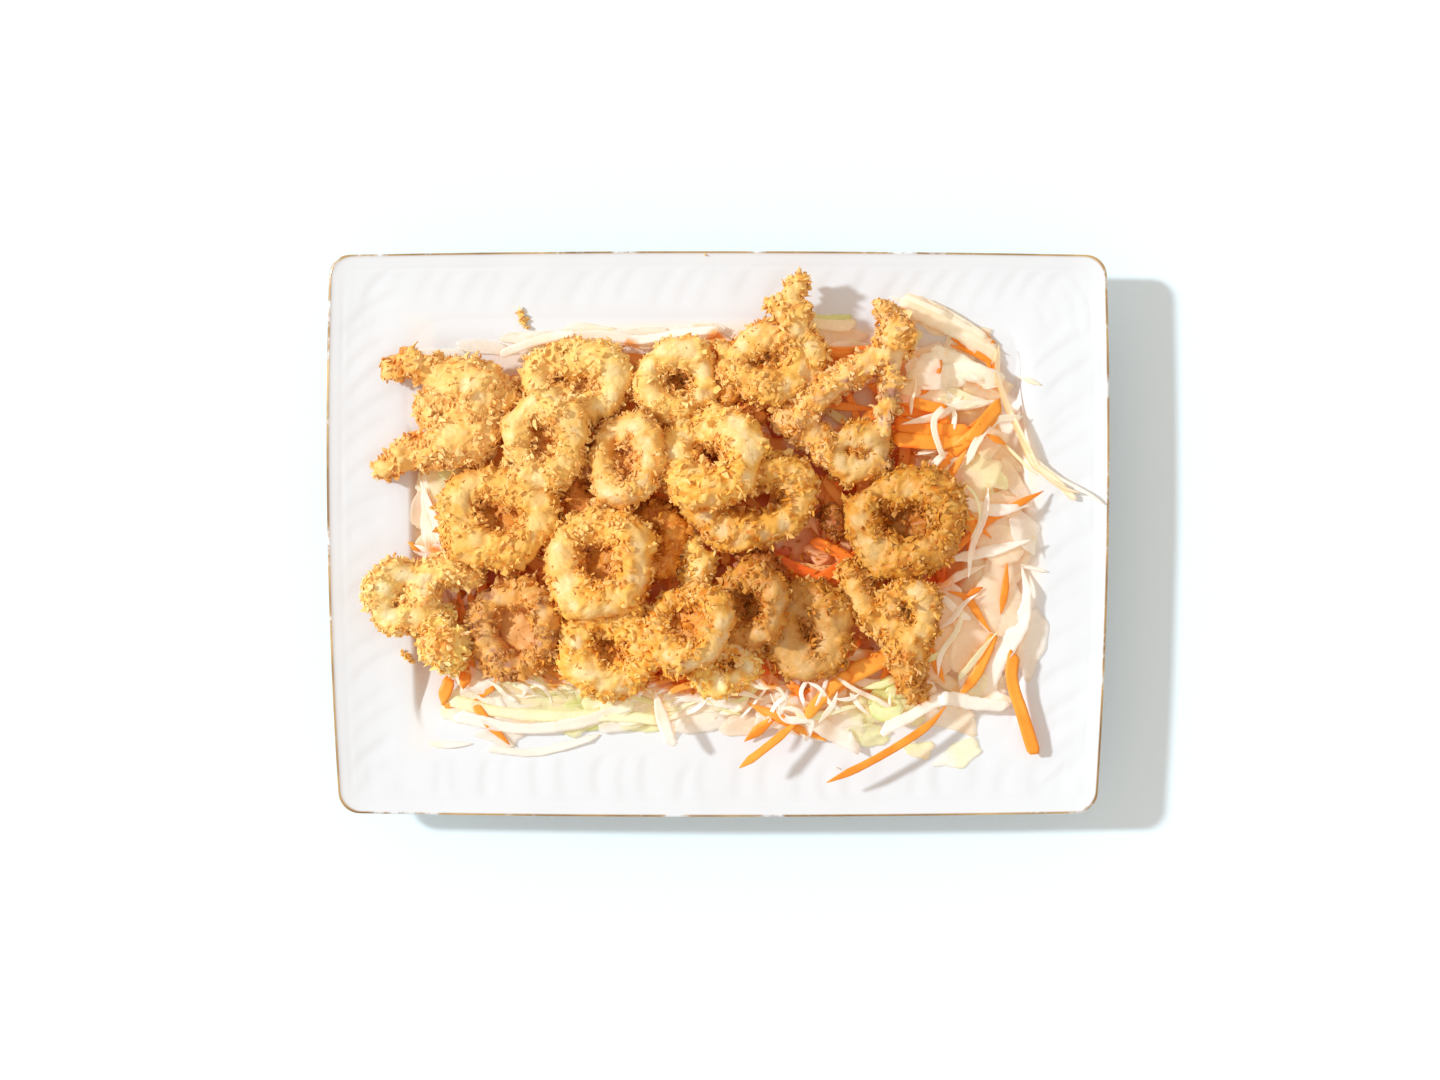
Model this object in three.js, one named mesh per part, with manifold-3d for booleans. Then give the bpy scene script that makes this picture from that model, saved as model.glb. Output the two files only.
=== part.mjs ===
// Fried calamari heaped on shredded cabbage and carrot, served on a rectangular porcelain platter.
// Units are millimetres, +Z is up, and the origin is on the table under the middle of the platter.
// Pieces: the platter, one uneven salad bed, every fried ring, the tentacle clusters and the short fried
// strips, each a solid of its own. A piece that lies on another one is pressed a little into it, so the
// lower piece is cut back to a thin clearance.
import * as THREE from 'three';
import { mergeVertices } from 'three/addons/utils/BufferGeometryUtils.js';
import Module from 'manifold-3d';

// ---------- driving dimensions ----------
const PLATE_LENGTH = 330;        // along X, over the lip
const PLATE_WIDTH = 239;         // along Y, over the lip
const PLATE_HEIGHT = 24;         // table to the top of the lip
const WELL_FLOOR = 16.4;         // table to the well's floor
const FLOOR_THICKNESS = 4.8;
const RIM_ACROSS_X = 34;         // rim width at the two short sides
const RIM_ACROSS_Y = 28;         // rim width at the two long sides
const LIP_THICKNESS = 3.0;
const CORNER_RADIUS = 8.5;
const TAPER = 0.0128;            // one long side is a little shorter than the other
const BOW = 0.019;               // sides bulge in the middle
const CLEARANCE = 0.3;           // between pieces that touch

const BED_HALF_LENGTH = 131;     // salad bed, across the well
const BED_HALF_WIDTH = 85;
const BED_EDGE = 5;              // its thickness near the edge
const BED_MOUND = 5;             // more towards the middle
const BED_RIGHT = 8;             // the uncovered end is piled higher,
const BED_SPILL = 3.5;            // and its edge lies over the inner edge of the rim
const BED_RIDGES = 1.6;          // furrows between the shreds there
const BED_FRONT = 8;             // and it is heaped along one long side too

const RING_STEPS = 14;           // facets round a ring
const SECTION_STEPS = 8;         // facets round its section
const LIMB_STEPS = 2;            // stations per span of a tentacle

// Fried rings, lowest first: centre, half-length a and half-width b over the crust, turn about Z,
// half-thickness of the wall (radial) and of the height, and the lean of the ring's axis in degrees.
const RINGS = [
  { name: 'ring_21', x: -26.6, y: -2.1, z: 32.4, a: 13.0, b: 16.0, turn: 0, wall: 5.4, half: 5.0, leanX: 0, leanY: 3 },
  { name: 'ring_01', x: -53.2, y: 19.4, z: 32.3, a: 13.0, b: 13.0, turn: 0, wall: 5.2, half: 5.0, leanX: 3, leanY: -3 },
  { name: 'ring_18', x: 2.5, y: -54.4, z: 33.0, a: 16.0, b: 12.5, turn: 12, wall: 5.0, half: 5.4, leanX: 3, leanY: 4 },
  { name: 'ring_11', x: -92.2, y: 7.2, z: 35.1, a: 25.5, b: 21.7, turn: -12, wall: 7.7, half: 6.8, leanX: -3, leanY: 3 },
  { name: 'ring_02', x: -59.9, y: 63.3, z: 33.0, a: 23.9, b: 18.0, turn: -6, wall: 7.0, half: 6.4, leanX: -6, leanY: 9 },
  { name: 'ring_05', x: -17.5, y: 64.1, z: 33.5, a: 18.4, b: 17.8, turn: 20, wall: 5.9, half: 6.0, leanX: 6, leanY: 3 },
  { name: 'cluster_top', x: 21.5, y: 72.1, z: 34.0, a: 19.4, b: 17.2, turn: 10, wall: 6.8, half: 6.4, leanX: 0, leanY: 12, filled: true },
  { name: 'ring_08', x: 13.5, y: 13.9, z: 35.2, a: 28.3, b: 19.0, turn: 9, wall: 6.6, half: 6.8, leanX: 0, leanY: 2 },
  { name: 'ring_10', x: 78.7, y: 5.0, z: 36.7, a: 25.3, b: 22.4, turn: 8, wall: 7.2, half: 6.8, leanX: -6, leanY: 3 },
  { name: 'ring_09', x: 58.8, y: 34.3, z: 33.6, a: 15.0, b: 13.2, turn: 15, wall: 6.0, half: 5.0, leanX: -3, leanY: -3 },
  { name: 'cluster_lower_left', x: -132.6, y: -26.5, z: 35.7, a: 15.3, b: 15.7, turn: 0, wall: 6.4, half: 6.0, leanX: 4, leanY: 0, filled: true },
  { name: 'ring_14', x: -84.8, y: -40.1, z: 32.4, a: 19.4, b: 20.5, turn: 0, wall: 6.9, half: 6.4, leanX: -9, leanY: -3 },
  { name: 'ring_15', x: -45.1, y: -48.4, z: 34.7, a: 22.4, b: 20.0, turn: -15, wall: 7.2, half: 6.5, leanX: 0, leanY: -3 },
  { name: 'ring_19', x: 37.8, y: -40.4, z: 34.1, a: 19.0, b: 21.2, turn: 12, wall: 7.9, half: 6.0, leanX: -3, leanY: 0 },
  { name: 'cluster_right', x: 79.1, y: -33.2, z: 36.3, a: 14.0, b: 15.6, turn: 0, wall: 6.0, half: 6.0, leanX: -3, leanY: 0, filled: true },
  { name: 'ring_17', x: 14.8, y: -29.8, z: 39.0, a: 17.0, b: 17.6, turn: 0, wall: 5.0, half: 6.0, leanX: -36, leanY: 0 },
  { name: 'ring_16', x: -11.7, y: -38.9, z: 44.1, a: 19.0, b: 19.0, turn: 0, wall: 5.6, half: 6.6, leanX: -19, leanY: 23 },
  { name: 'ring_03', x: -72.6, y: 39.0, z: 41.8, a: 18.7, b: 21.5, turn: -5, wall: 6.5, half: 7.0, leanX: -12, leanY: -3 },
  { name: 'ring_07', x: -2.9, y: 31.9, z: 41.2, a: 22.4, b: 22.2, turn: 0, wall: 8.1, half: 7.5, leanX: -9, leanY: 21 },
  { name: 'ring_04', x: -38.1, y: 31.4, z: 42.6, a: 16.5, b: 19.6, turn: 0, wall: 5.5, half: 6.0, leanX: -18, leanY: 12 },
  { name: 'ring_12', x: -49.5, y: -12.2, z: 40.3, a: 23.4, b: 24.0, turn: 0, wall: 7.4, half: 7.5, leanX: -12, leanY: 9 },
];

// Tentacles and strips: each limb is a row of [x, y, z, radius] stations. A cluster that also has a ring
// above is one fried piece with it.
const LIMBS = {
  cluster_top: [
    [[32.4, 84.4, 36.6, 6.5], [32.1, 92.0, 36.8, 6.0], [30.4, 99.6, 36.6, 5.0], [34.6, 105.9, 35.8, 3.6]],
    [[30.4, 89.5, 37.0, 4.2], [22.4, 96.2, 37.4, 2.6]],
    [[2.4, 77.6, 32.0, 3.8], [4.6, 68.4, 32.4, 4.4], [5.0, 57.8, 31.6, 3.8]],
    [[36.6, 82.7, 37.6, 4.6], [40.9, 74.3, 35.4, 5.0], [38.3, 65.8, 33.0, 4.2]],
  ],
  cluster_lower_left: [[[-124.5, -18.9, 34.0, 6.0], [-115.1, -15.2, 32.6, 6.6], [-103.0, -16.9, 30.8, 5.6]]],
  cluster_right: [
    [[80.2, -42.7, 36.6, 7.0], [79.3, -54.0, 35.6, 8.0], [81.0, -62.5, 31.8, 5.6], [84.4, -67.5, 29.0, 3.6]],
    [[70.1, -39.4, 35.4, 5.2], [63.3, -32.9, 35.2, 5.6], [58.2, -24.5, 34.6, 6.2], [55.7, -16.0, 32.8, 5.2]],
  ],
  cluster_left: [
    [[-91.0, 56.0, 31.5, 7.5], [-100.5, 60.5, 33.0, 10.5], [-112.0, 63.0, 33.2, 9.0], [-122.6, 68.0, 32.2, 6.0], [-131.2, 71.0, 31.0, 4.4], [-138.0, 67.5, 29.8, 3.4]],
    [[-97.0, 44.5, 31.6, 8.5], [-108.0, 40.0, 33.0, 10.5], [-119.0, 37.0, 32.6, 8.4], [-130.4, 33.0, 30.8, 6.4], [-139.6, 28.2, 29.0, 4.6]],
    [[-98.0, 58.0, 32.6, 9.0], [-107.0, 50.0, 33.0, 10.0], [-108.0, 41.0, 32.8, 9.0]],
    [[-113.0, 58.0, 32.6, 7.6], [-120.0, 53.0, 31.8, 6.8], [-116.5, 45.0, 31.8, 7.0]],
  ],
  cluster_upper_right: [
    [[27.4, 46.0, 33.0, 4.6], [38.0, 54.0, 35.2, 5.8], [50.5, 63.5, 36.8, 6.2], [62.5, 72.0, 37.4, 6.0], [72.5, 78.0, 37.0, 7.2], [74.5, 85.6, 36.0, 7.0], [68.6, 94.0, 34.4, 3.8]],
    [[73.8, 79.8, 37.6, 5.4], [72.2, 67.1, 37.6, 4.6], [70.9, 55.7, 37.5, 4.6], [69.2, 44.7, 37.7, 3.8]],
    [[28.5, 51.0, 32.0, 5.8], [35.0, 46.0, 33.4, 8.2], [42.0, 39.5, 32.8, 6.4], [46.0, 33.0, 32.2, 5.2]],
  ],
  nugget: [[[-119.5, -36.5, 31.0, 7.4], [-115.6, -45.0, 31.8, 10.2], [-112.6, -52.6, 29.5, 7.0]]],
  strip_1: [[[-8.9, -4.6, 30.9, 4.4], [-8.0, -11.8, 32.0, 5.4], [-9.3, -21.1, 32.2, 5.0]]],
  strip_2: [[[10.1, -8.0, 31.7, 3.8], [17.7, -12.2, 32.6, 4.6], [24.9, -20.3, 31.1, 4.2]]],
  strip_3: [[[10.5, 51.5, 30.9, 4.2], [16.5, 49.8, 30.7, 4.0]]],
  strip_4: [[[47.3, 8.0, 31.0, 3.6], [49.8, 2.1, 30.6, 3.6]]],
};
// What lies on top keeps its shape: pieces are listed from the lowest to the highest.
const ORDER = ['strip_1', 'strip_2', 'strip_3', 'strip_4', 'nugget',
  ...RINGS.map((r) => r.name), 'cluster_left', 'cluster_upper_right'];

const COLOURS = { plate: 0xf4f2ef, salad_bed: 0xe6dcae, fried: 0xe2a95a };

// ---------- solids ----------
const wasm = await Module();
wasm.setup();

function solid(geometry) {
  const g = geometry.clone();
  for (const k of Object.keys(g.attributes)) if (k !== 'position') g.deleteAttribute(k);
  const m = mergeVertices(g, 1e-4);
  return new wasm.Manifold(new wasm.Mesh({
    numProp: 3,
    vertProperties: Float32Array.from(m.attributes.position.array),
    triVerts: Uint32Array.from(m.index.array),
  }));
}

function largest(s) {
  const parts = s.decompose();
  parts.sort((p, q) => q.volume() - p.volume());
  return parts[0];
}

function geometryOf(s) {
  const mesh = s.getMesh();
  const g = new THREE.BufferGeometry();
  g.setAttribute('position', new THREE.BufferAttribute(Float32Array.from(mesh.vertProperties), 3));
  g.setIndex(new THREE.BufferAttribute(Uint32Array.from(mesh.triVerts), 1));
  g.computeVertexNormals();
  return g;
}

// A closed skin over rows of points. Every row has the same number of points. A ring of rows closes on
// itself; otherwise the first and last rows are closed with a fan about their middle.
function skin(rows, closed) {
  const n = rows[0].length;
  const position = rows.flat().flatMap((p) => [p.x, p.y, p.z]);
  const index = [];
  const last = closed ? rows.length : rows.length - 1;
  for (let i = 0; i < last; i++) {
    const a = i * n, b = ((i + 1) % rows.length) * n;
    for (let j = 0; j < n; j++) {
      const k = (j + 1) % n;
      index.push(a + j, b + j, b + k, a + j, b + k, a + k);
    }
  }
  if (!closed) {
    for (const end of [0, rows.length - 1]) {
      const c = rows[end].reduce((s, p) => s.add(p), new THREE.Vector3()).divideScalar(n);
      const at = position.length / 3;
      position.push(c.x, c.y, c.z);
      for (let j = 0; j < n; j++) {
        const k = (j + 1) % n;
        if (end === 0) index.push(at, end * n + j, end * n + k);
        else index.push(at, end * n + k, end * n + j);
      }
    }
  }
  // the faces point out: a skin that came out inside-out, with a negative volume, is turned round
  const at = (i) => new THREE.Vector3(...position.slice(3 * i, 3 * i + 3));
  let volume = 0;
  for (let i = 0; i < index.length; i += 3) volume += at(index[i]).dot(at(index[i + 1]).cross(at(index[i + 2])));
  if (volume < 0) for (let i = 0; i < index.length; i += 3) [index[i], index[i + 1]] = [index[i + 1], index[i]];
  const g = new THREE.BufferGeometry();
  g.setAttribute('position', new THREE.Float32BufferAttribute(position, 3));
  g.setIndex(index);
  return g;
}

// ---------- platter ----------
// One rounded rectangle of the loft: arcs at the corners, extra points along the straight sides.
function rectangle(halfX, halfY, radius, z) {
  const points = [];
  const corners = [[1, 1, 0], [-1, 1, 90], [-1, -1, 180], [1, -1, 270]];
  corners.forEach(([sx, sy, start], c) => {
    for (let i = 0; i <= 4; i++) {
      const t = THREE.MathUtils.degToRad(start + 22.5 * i);
      points.push(new THREE.Vector3(sx * (halfX - radius) + radius * Math.cos(t), sy * (halfY - radius) + radius * Math.sin(t), z));
    }
    const [nx, ny] = corners[(c + 1) % 4];
    const t0 = THREE.MathUtils.degToRad(start + 90);
    const from = points[points.length - 1].clone();
    const to = new THREE.Vector3(nx * (halfX - radius) + radius * Math.cos(t0), ny * (halfY - radius) + radius * Math.sin(t0), z);
    for (let i = 1; i < 4; i++) points.push(from.clone().lerp(to, i / 4));
  });
  return points.map((p) => new THREE.Vector3(
    p.x * (1 + TAPER * (p.y / 120) - BOW * (p.y / 120) ** 2),
    p.y * (1 - 0.014 * (p.x / 165) ** 2), p.z));
}

function plateGeometry(lift = 0) {
  const hx = PLATE_LENGTH / 2, hy = PLATE_WIDTH / 2, top = PLATE_HEIGHT, r = CORNER_RADIUS;
  const wx = hx - RIM_ACROSS_X, wy = hy - RIM_ACROSS_Y;      // inner edge of the rim
  const under = WELL_FLOOR - FLOOR_THICKNESS;
  const rows = [
    [wx - 8.0, wy - 8.0, r + 5.5, WELL_FLOOR],
    [wx - 5.6, wy - 5.6, r + 7.5, WELL_FLOOR + 1],
    [wx - 3.4, wy - 3.4, r + 9.0, WELL_FLOOR + 3.1],
    [wx - 1.6, wy - 1.6, r + 10, WELL_FLOOR + 4.9],
    [wx, wy, r + 11, top - 2],
    [hx - 18, hy - 14.5, r + 5.5, top - 1.4],
    [hx - 2, hy - 1.7, r + 0.5, top - 0.4],
    [hx - 0.8, hy - 0.7, r, top],
    [hx, hy, r, top - 1.0],
    [hx - 0.8, hy - 0.7, r, top - LIP_THICKNESS],
    [hx - 17, hy - 14, r + 4.5, top - 5.2],
    [wx + 2, wy + 2, r + 7, top - 6.6],
    [wx - 4, wy - 4.5, r + 6.5, under + 2.8],
    [wx - 10, wy - 10, r + 4, under + 0.6],
    [wx - 14, wy - 13, r + 3.5, under - 1.6],
    [wx - 16.5, wy - 15.5, r + 3.5, 0],
    [wx - 21, wy - 20, r + 1, 0],
    [wx - 23, wy - 22, r + 1, under],
  ].map(([a, b, c, z]) => rectangle(a, b, c, z + lift));
  return skin(rows, false);
}

// ---------- salad ----------
function bedTop(x, y) {
  const s = (Math.abs((x - 4) / BED_HALF_LENGTH) ** 3.2 + Math.abs((y - 3.5) / BED_HALF_WIDTH) ** 3.2) ** (1 / 3.2);
  const e = THREE.MathUtils.smoothstep((1.02 - s) / 0.24, 0, 1);
  const waves = 1.2 * Math.sin(x / 17 + 0.6) * Math.sin(y / 13 + 1.1) + 0.9 * Math.sin(x / 9.5 - 1) * Math.cos(y / 11 + 0.4);
  const right = THREE.MathUtils.smoothstep(x, 92, 112);
  const open = right * (BED_RIGHT * e + BED_SPILL * (1 - e) + BED_RIDGES * Math.sin(y / 5 + x / 12));
  const front = BED_FRONT * THREE.MathUtils.smoothstep(x, 8, 34) * THREE.MathUtils.smoothstep(-y, 58, 72) * (1 - right);
  return WELL_FLOOR + Math.max(BED_EDGE + BED_MOUND * e + waves + open + front, 1.5);
}

function bedGeometry() {
  // Rows run from the middle of the underside, round the uneven edge, to the middle of the top.
  const around = 42, steps = [0.3, 0.55, 0.8, 0.93, 1];
  const point = (i, f, z) => {
    const t = (2 * Math.PI * i) / around, c = Math.cos(t), s = Math.sin(t);
    const m = (Math.abs(c) ** 3.2 + Math.abs(s) ** 3.2) ** (-1 / 3.2);
    // the corner near -X -Y is left bare, and the edge is ragged
    const bare = 1 - 0.1 * Math.max(0, Math.cos(t - 3.9)) ** 6;
    const ragged = 1 + 0.018 * Math.sin(7 * t + 1) + 0.014 * Math.sin(13 * t + 2);
    const x = 4 + BED_HALF_LENGTH * m * c * f * bare * ragged, y = 3.5 + BED_HALF_WIDTH * m * s * f * bare * ragged;
    return new THREE.Vector3(x, y, z === undefined ? bedTop(x, y) : z);
  };
  const row = (f, z) => Array.from({ length: around }, (_, i) => point(i, f, z));
  const rows = [row(0.5, WELL_FLOOR - 1), row(0.97, WELL_FLOOR - 1)];
  for (const f of [...steps].reverse()) rows.push(row(f));
  return skin(rows, false);
}

// ---------- fried pieces ----------
const phase = (name) => [...name].reduce((s, c) => (s * 31 + c.charCodeAt(0)) % 628, 7) / 100;

function ringPoints(r, grow, steps = RING_STEPS, sides = SECTION_STEPS) {
  const p = phase(r.name), lean = Math.hypot(r.leanX, r.leanY);
  const tilt = new THREE.Matrix4();
  if (lean > 0) tilt.makeRotationAxis(new THREE.Vector3(-r.leanY / lean, r.leanX / lean, 0), THREE.MathUtils.degToRad(lean));
  const place = new THREE.Matrix4().makeTranslation(r.x, r.y, r.z).multiply(tilt)
    .multiply(new THREE.Matrix4().makeRotationZ(THREE.MathUtils.degToRad(r.turn)));
  const rows = [];
  for (let i = 0; i < steps; i++) {
    const u = (2 * Math.PI * i) / steps;
    const wall = r.wall * (1 + 0.09 * Math.sin(2 * u + p) + 0.08 * Math.sin(5 * u + 2 * p)) + grow;
    const half = r.half * (1 + 0.1 * Math.sin(3 * u + 3 * p)) + grow;
    const bend = 1 + 0.03 * Math.sin(3 * u + p) + 0.02 * Math.sin(4 * u + 1.7 * p);
    const a = (r.a - r.wall) * bend, b = (r.b - r.wall) * bend;
    const out = new THREE.Vector3(Math.cos(u) / a, Math.sin(u) / b, 0).normalize();
    const row = [];
    for (let j = 0; j < sides; j++) {
      const v = (2 * Math.PI * (j + 0.5)) / sides;
      const c = Math.cos(v), s = Math.sin(v);
      row.push(new THREE.Vector3(a * Math.cos(u), b * Math.sin(u), half * s + 0.7 * Math.sin(2 * u + p))
        .addScaledVector(out, wall * c).applyMatrix4(place));
    }
    rows.push(row);
  }
  return { rows, place };
}

function ringSolid(r, grow, steps, sides) {
  const { rows, place } = ringPoints(r, grow, steps, sides);
  let s = solid(skin(rows, true));
  if (r.filled) {
    const core = new THREE.SphereGeometry(1, 8, 6);
    core.rotateX(Math.PI / 2);
    core.scale(r.a - r.wall + grow, r.b - r.wall + grow, r.half * 0.72 + grow);
    core.applyMatrix4(place);
    s = s.add(solid(core));
  }
  return s;
}

// A tentacle: round sections along a smooth curve, thicker and thinner with the crust, closed by blunt ends.
function limbGeometry(stations, name, grow) {
  const p = phase(name), curve = new THREE.CatmullRomCurve3(stations.map(([x, y, z]) => new THREE.Vector3(x, y, z)));
  const count = (stations.length - 1) * LIMB_STEPS, frames = curve.computeFrenetFrames(count, false);
  const radius = (t) => {
    const f = t * (stations.length - 1), i = Math.min(Math.floor(f), stations.length - 2);
    return THREE.MathUtils.lerp(stations[i][3], stations[i + 1][3], f - i) * (1 + 0.07 * Math.sin(9 * t + p)) + grow;
  };
  const rows = [];
  const ring = (c, n, b, r) => Array.from({ length: 6 }, (_, j) => {
    const v = (2 * Math.PI * j) / 6;
    return c.clone().addScaledVector(n, r * Math.cos(v) * (1 + 0.05 * Math.sin(3 * v + p))).addScaledVector(b, r * Math.sin(v));
  });
  for (let i = 0; i <= count; i++) {
    const c = curve.getPoint(i / count), n = frames.normals[i], b = frames.binormals[i], t = frames.tangents[i], r = radius(i / count);
    if (i === 0) rows.push(ring(c.clone().addScaledVector(t, -0.8 * r), n, b, 0.55 * r));
    rows.push(ring(c, n, b, r));
    if (i === count) rows.push(ring(c.clone().addScaledVector(t, 0.8 * r), n, b, 0.55 * r));
  }
  return skin(rows, false);
}

function pieceSolid(name, grow, steps, sides) {
  const ring = RINGS.find((r) => r.name === name);
  let s = ring ? ringSolid(ring, grow, steps, sides) : null;
  for (const stations of LIMBS[name] ?? []) {
    const limb = solid(limbGeometry(stations, name, grow));
    s = s ? s.add(limb) : limb;
  }
  return s;
}

const overlaps = (p, q) => {
  const a = p.boundingBox(), b = q.boundingBox();
  return [0, 1, 2].every((k) => a.min[k] < b.max[k] && b.min[k] < a.max[k]);
};

// ---------- assembly ----------
const group = new THREE.Group();
group.name = 'fried_calamari_platter';

function put(name, geometry, colour, roughness) {
  const mesh = new THREE.Mesh(geometry, new THREE.MeshStandardMaterial({ color: colour, roughness, metalness: 0 }));
  mesh.name = name;
  group.add(mesh);
}

const plate = solid(plateGeometry());
const plateClear = solid(plateGeometry(CLEARANCE + 0.05));
const exact = ORDER.map((n) => pieceSolid(n, 0));
const grown = ORDER.map((n) => pieceSolid(n, CLEARANCE));

put('plate', geometryOf(plate), COLOURS.plate, 0.18);

// The fried pieces press dents into the bed.
let bed = solid(bedGeometry()).subtract(plateClear);
for (const g of grown) if (overlaps(bed, g) && bed.intersect(g).volume() > 1e-6) bed = bed.subtract(g);
put('salad_bed', geometryOf(largest(bed)), COLOURS.salad_bed, 0.6);

ORDER.forEach((name, i) => {
  let s = exact[i];
  if (overlaps(s, plateClear)) s = s.subtract(plateClear);
  for (let j = i + 1; j < ORDER.length; j++) if (overlaps(s, grown[j])) s = s.subtract(grown[j]);
  put(name, geometryOf(largest(s)), COLOURS.fried, 0.75);
});

export default group;
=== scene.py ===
"""Fried calamari on shredded cabbage and carrot, on a porcelain platter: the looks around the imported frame.

All shapes are worked out in millimetres in the frame's own axes and written in metres at the end."""
import math

import bpy
import numpy as np
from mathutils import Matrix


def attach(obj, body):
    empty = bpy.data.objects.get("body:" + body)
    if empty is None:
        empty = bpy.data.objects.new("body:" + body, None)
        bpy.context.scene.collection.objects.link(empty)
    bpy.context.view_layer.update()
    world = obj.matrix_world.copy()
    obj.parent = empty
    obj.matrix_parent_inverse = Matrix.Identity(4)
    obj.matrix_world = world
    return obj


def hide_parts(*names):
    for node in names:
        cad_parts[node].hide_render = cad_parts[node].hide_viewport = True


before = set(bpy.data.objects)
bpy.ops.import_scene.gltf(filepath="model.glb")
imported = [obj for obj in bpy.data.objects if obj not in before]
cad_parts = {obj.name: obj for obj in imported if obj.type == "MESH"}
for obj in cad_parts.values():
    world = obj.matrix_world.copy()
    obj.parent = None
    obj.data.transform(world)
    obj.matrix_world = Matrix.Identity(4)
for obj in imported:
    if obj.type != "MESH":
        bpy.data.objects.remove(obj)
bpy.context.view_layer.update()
TAU = 2 * math.pi


# ------------------------------------------------------------------ noise
def hashed(c, seed):
    """One even random number in 0..1 for each lattice cell in c (n, 3)."""
    c = c.astype(np.int64)
    h = (c[:, 0] * 73856093) ^ (c[:, 1] * 19349663) ^ (c[:, 2] * 83492791) ^ (seed * 2654435761)
    h = (h & 0xFFFFFFFF).astype(np.uint32)
    h ^= h >> np.uint32(16)
    h *= np.uint32(0x7FEB352D)
    h ^= h >> np.uint32(15)
    h *= np.uint32(0x846CA68B)
    h ^= h >> np.uint32(16)
    return h.astype(np.float64) / 4294967296.0


def noise(p, size, seed):
    """Smooth noise in -1..1 with features of that size, at points p (n, 3)."""
    q = p / size + seed * 0.137
    base = np.floor(q)
    f = q - base
    f = f * f * f * (f * (f * 6 - 15) + 10)
    out = np.zeros(len(p))
    for i in (0, 1):
        for j in (0, 1):
            for k in (0, 1):
                w = (f[:, 0] if i else 1 - f[:, 0]) * (f[:, 1] if j else 1 - f[:, 1]) * (f[:, 2] if k else 1 - f[:, 2])
                out += w * hashed(base + (i, j, k), seed)
    return out * 2 - 1


def cells(p, size, seed):
    """For each point: distance to the nearest scattered seed in cells, that seed's own random number, and the way from it."""
    q = p / size
    base = np.floor(q)
    best = np.full(len(p), 9.0)
    who = np.zeros(len(p))
    away = np.zeros((len(p), 3))
    for i in (-1, 0, 1):
        for j in (-1, 0, 1):
            for k in (-1, 0, 1):
                c = base + (i, j, k)
                v = q - c - np.stack([hashed(c, seed), hashed(c, seed + 1), hashed(c, seed + 2)], -1)
                d = (v * v).sum(1)
                near = d < best
                best[near], away[near], who[near] = d[near], v[near], hashed(c[near], seed + 3)
    return np.sqrt(best), who, away


def tilted(who, away):
    """A different slope on each cell, so that crumbs look like flakes laid at all angles."""
    g = np.stack([np.sin(who * 97), np.sin(who * 57 + 1), np.sin(who * 131 + 2)], -1)
    return (away * g).sum(1)


def smoothstep(x, a, b):
    t = np.clip((x - a) / (b - a), 0, 1)
    return t * t * (3 - 2 * t)


def lerp(a, b, t):
    return a + (b - a) * t


def mix(a, b, t):
    """Mix colours: a and b are (3,) or (n, 3), t is (n,)."""
    return np.asarray(a) + (np.asarray(b) - np.asarray(a)) * np.asarray(t)[:, None]


def unit(v):
    return v / np.maximum(np.linalg.norm(v, axis=-1, keepdims=True), 1e-12)


# ------------------------------------------------------------------ meshes
def triangles(F):
    return F if F.shape[1] == 3 else np.concatenate([F[:, [0, 1, 2]], F[:, [0, 2, 3]]])


def volume(V, F):
    T = triangles(F)
    return np.einsum("ij,ij->i", V[T[:, 0]], np.cross(V[T[:, 1]], V[T[:, 2]])).sum() / 6


def outward(V, F):
    return F[:, ::-1] if volume(V, F) < 0 else F


def normals(V, F):
    T = triangles(F)
    n = np.cross(V[T[:, 1]] - V[T[:, 0]], V[T[:, 2]] - V[T[:, 0]])
    out = np.zeros_like(V)
    for k in range(3):
        for a in range(3):
            out[:, a] += np.bincount(T[:, k], n[:, a], len(V))
    return unit(out)


def grid_faces(nu, nv, wrap_u, wrap_v):
    i = np.arange(nu if wrap_u else nu - 1)
    j = np.arange(nv if wrap_v else nv - 1)
    I, J = np.meshgrid(i, j, indexing="ij")
    I2, J2 = (I + 1) % nu, (J + 1) % nv
    return np.stack([I * nv + J, I2 * nv + J, I2 * nv + J2, I * nv + J2], -1).reshape(-1, 4)


def make(name, V, parts, colour=None, extra=None, material=None):
    """A mesh object from points in mm and a list of (faces, smooth)."""
    mesh = bpy.data.meshes.new(name)
    mesh.vertices.add(len(V))
    mesh.vertices.foreach_set("co", (V * 0.001).astype(np.float32).ravel())
    loops = np.concatenate([F.ravel() for F, _ in parts]).astype(np.int32)
    totals = np.concatenate([np.full(len(F), F.shape[1]) for F, _ in parts]).astype(np.int32)
    starts = np.concatenate([[0], np.cumsum(totals)[:-1]]).astype(np.int32)
    mesh.loops.add(len(loops))
    mesh.loops.foreach_set("vertex_index", loops)
    mesh.polygons.add(len(totals))
    mesh.polygons.foreach_set("loop_start", starts)
    mesh.polygons.foreach_set("use_smooth", np.concatenate([np.full(len(F), s) for F, s in parts]))
    mesh.update(calc_edges=True)
    mesh.validate()
    if colour is not None:
        a = mesh.color_attributes.new("Col", "FLOAT_COLOR", "POINT")
        a.data.foreach_set("color", np.column_stack([np.clip(colour, 0, 1), np.ones(len(V))]).astype(np.float32).ravel())
    for key, values in (extra or {}).items():
        a = mesh.attributes.new(key, "FLOAT", "POINT")
        a.data.foreach_set("value", values.astype(np.float32))
    ob = bpy.data.objects.new(name, mesh)
    bpy.context.scene.collection.objects.link(ob)
    if material:
        mesh.materials.append(material)
    return ob


def joined(parts):
    """Several (V, F) as one, quads and triangles alike."""
    V, F, at = [], [], 0
    for v, f in parts:
        V.append(v)
        F.append(triangles(f) + at)
        at += len(v)
    return np.concatenate(V), np.concatenate(F)


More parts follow.
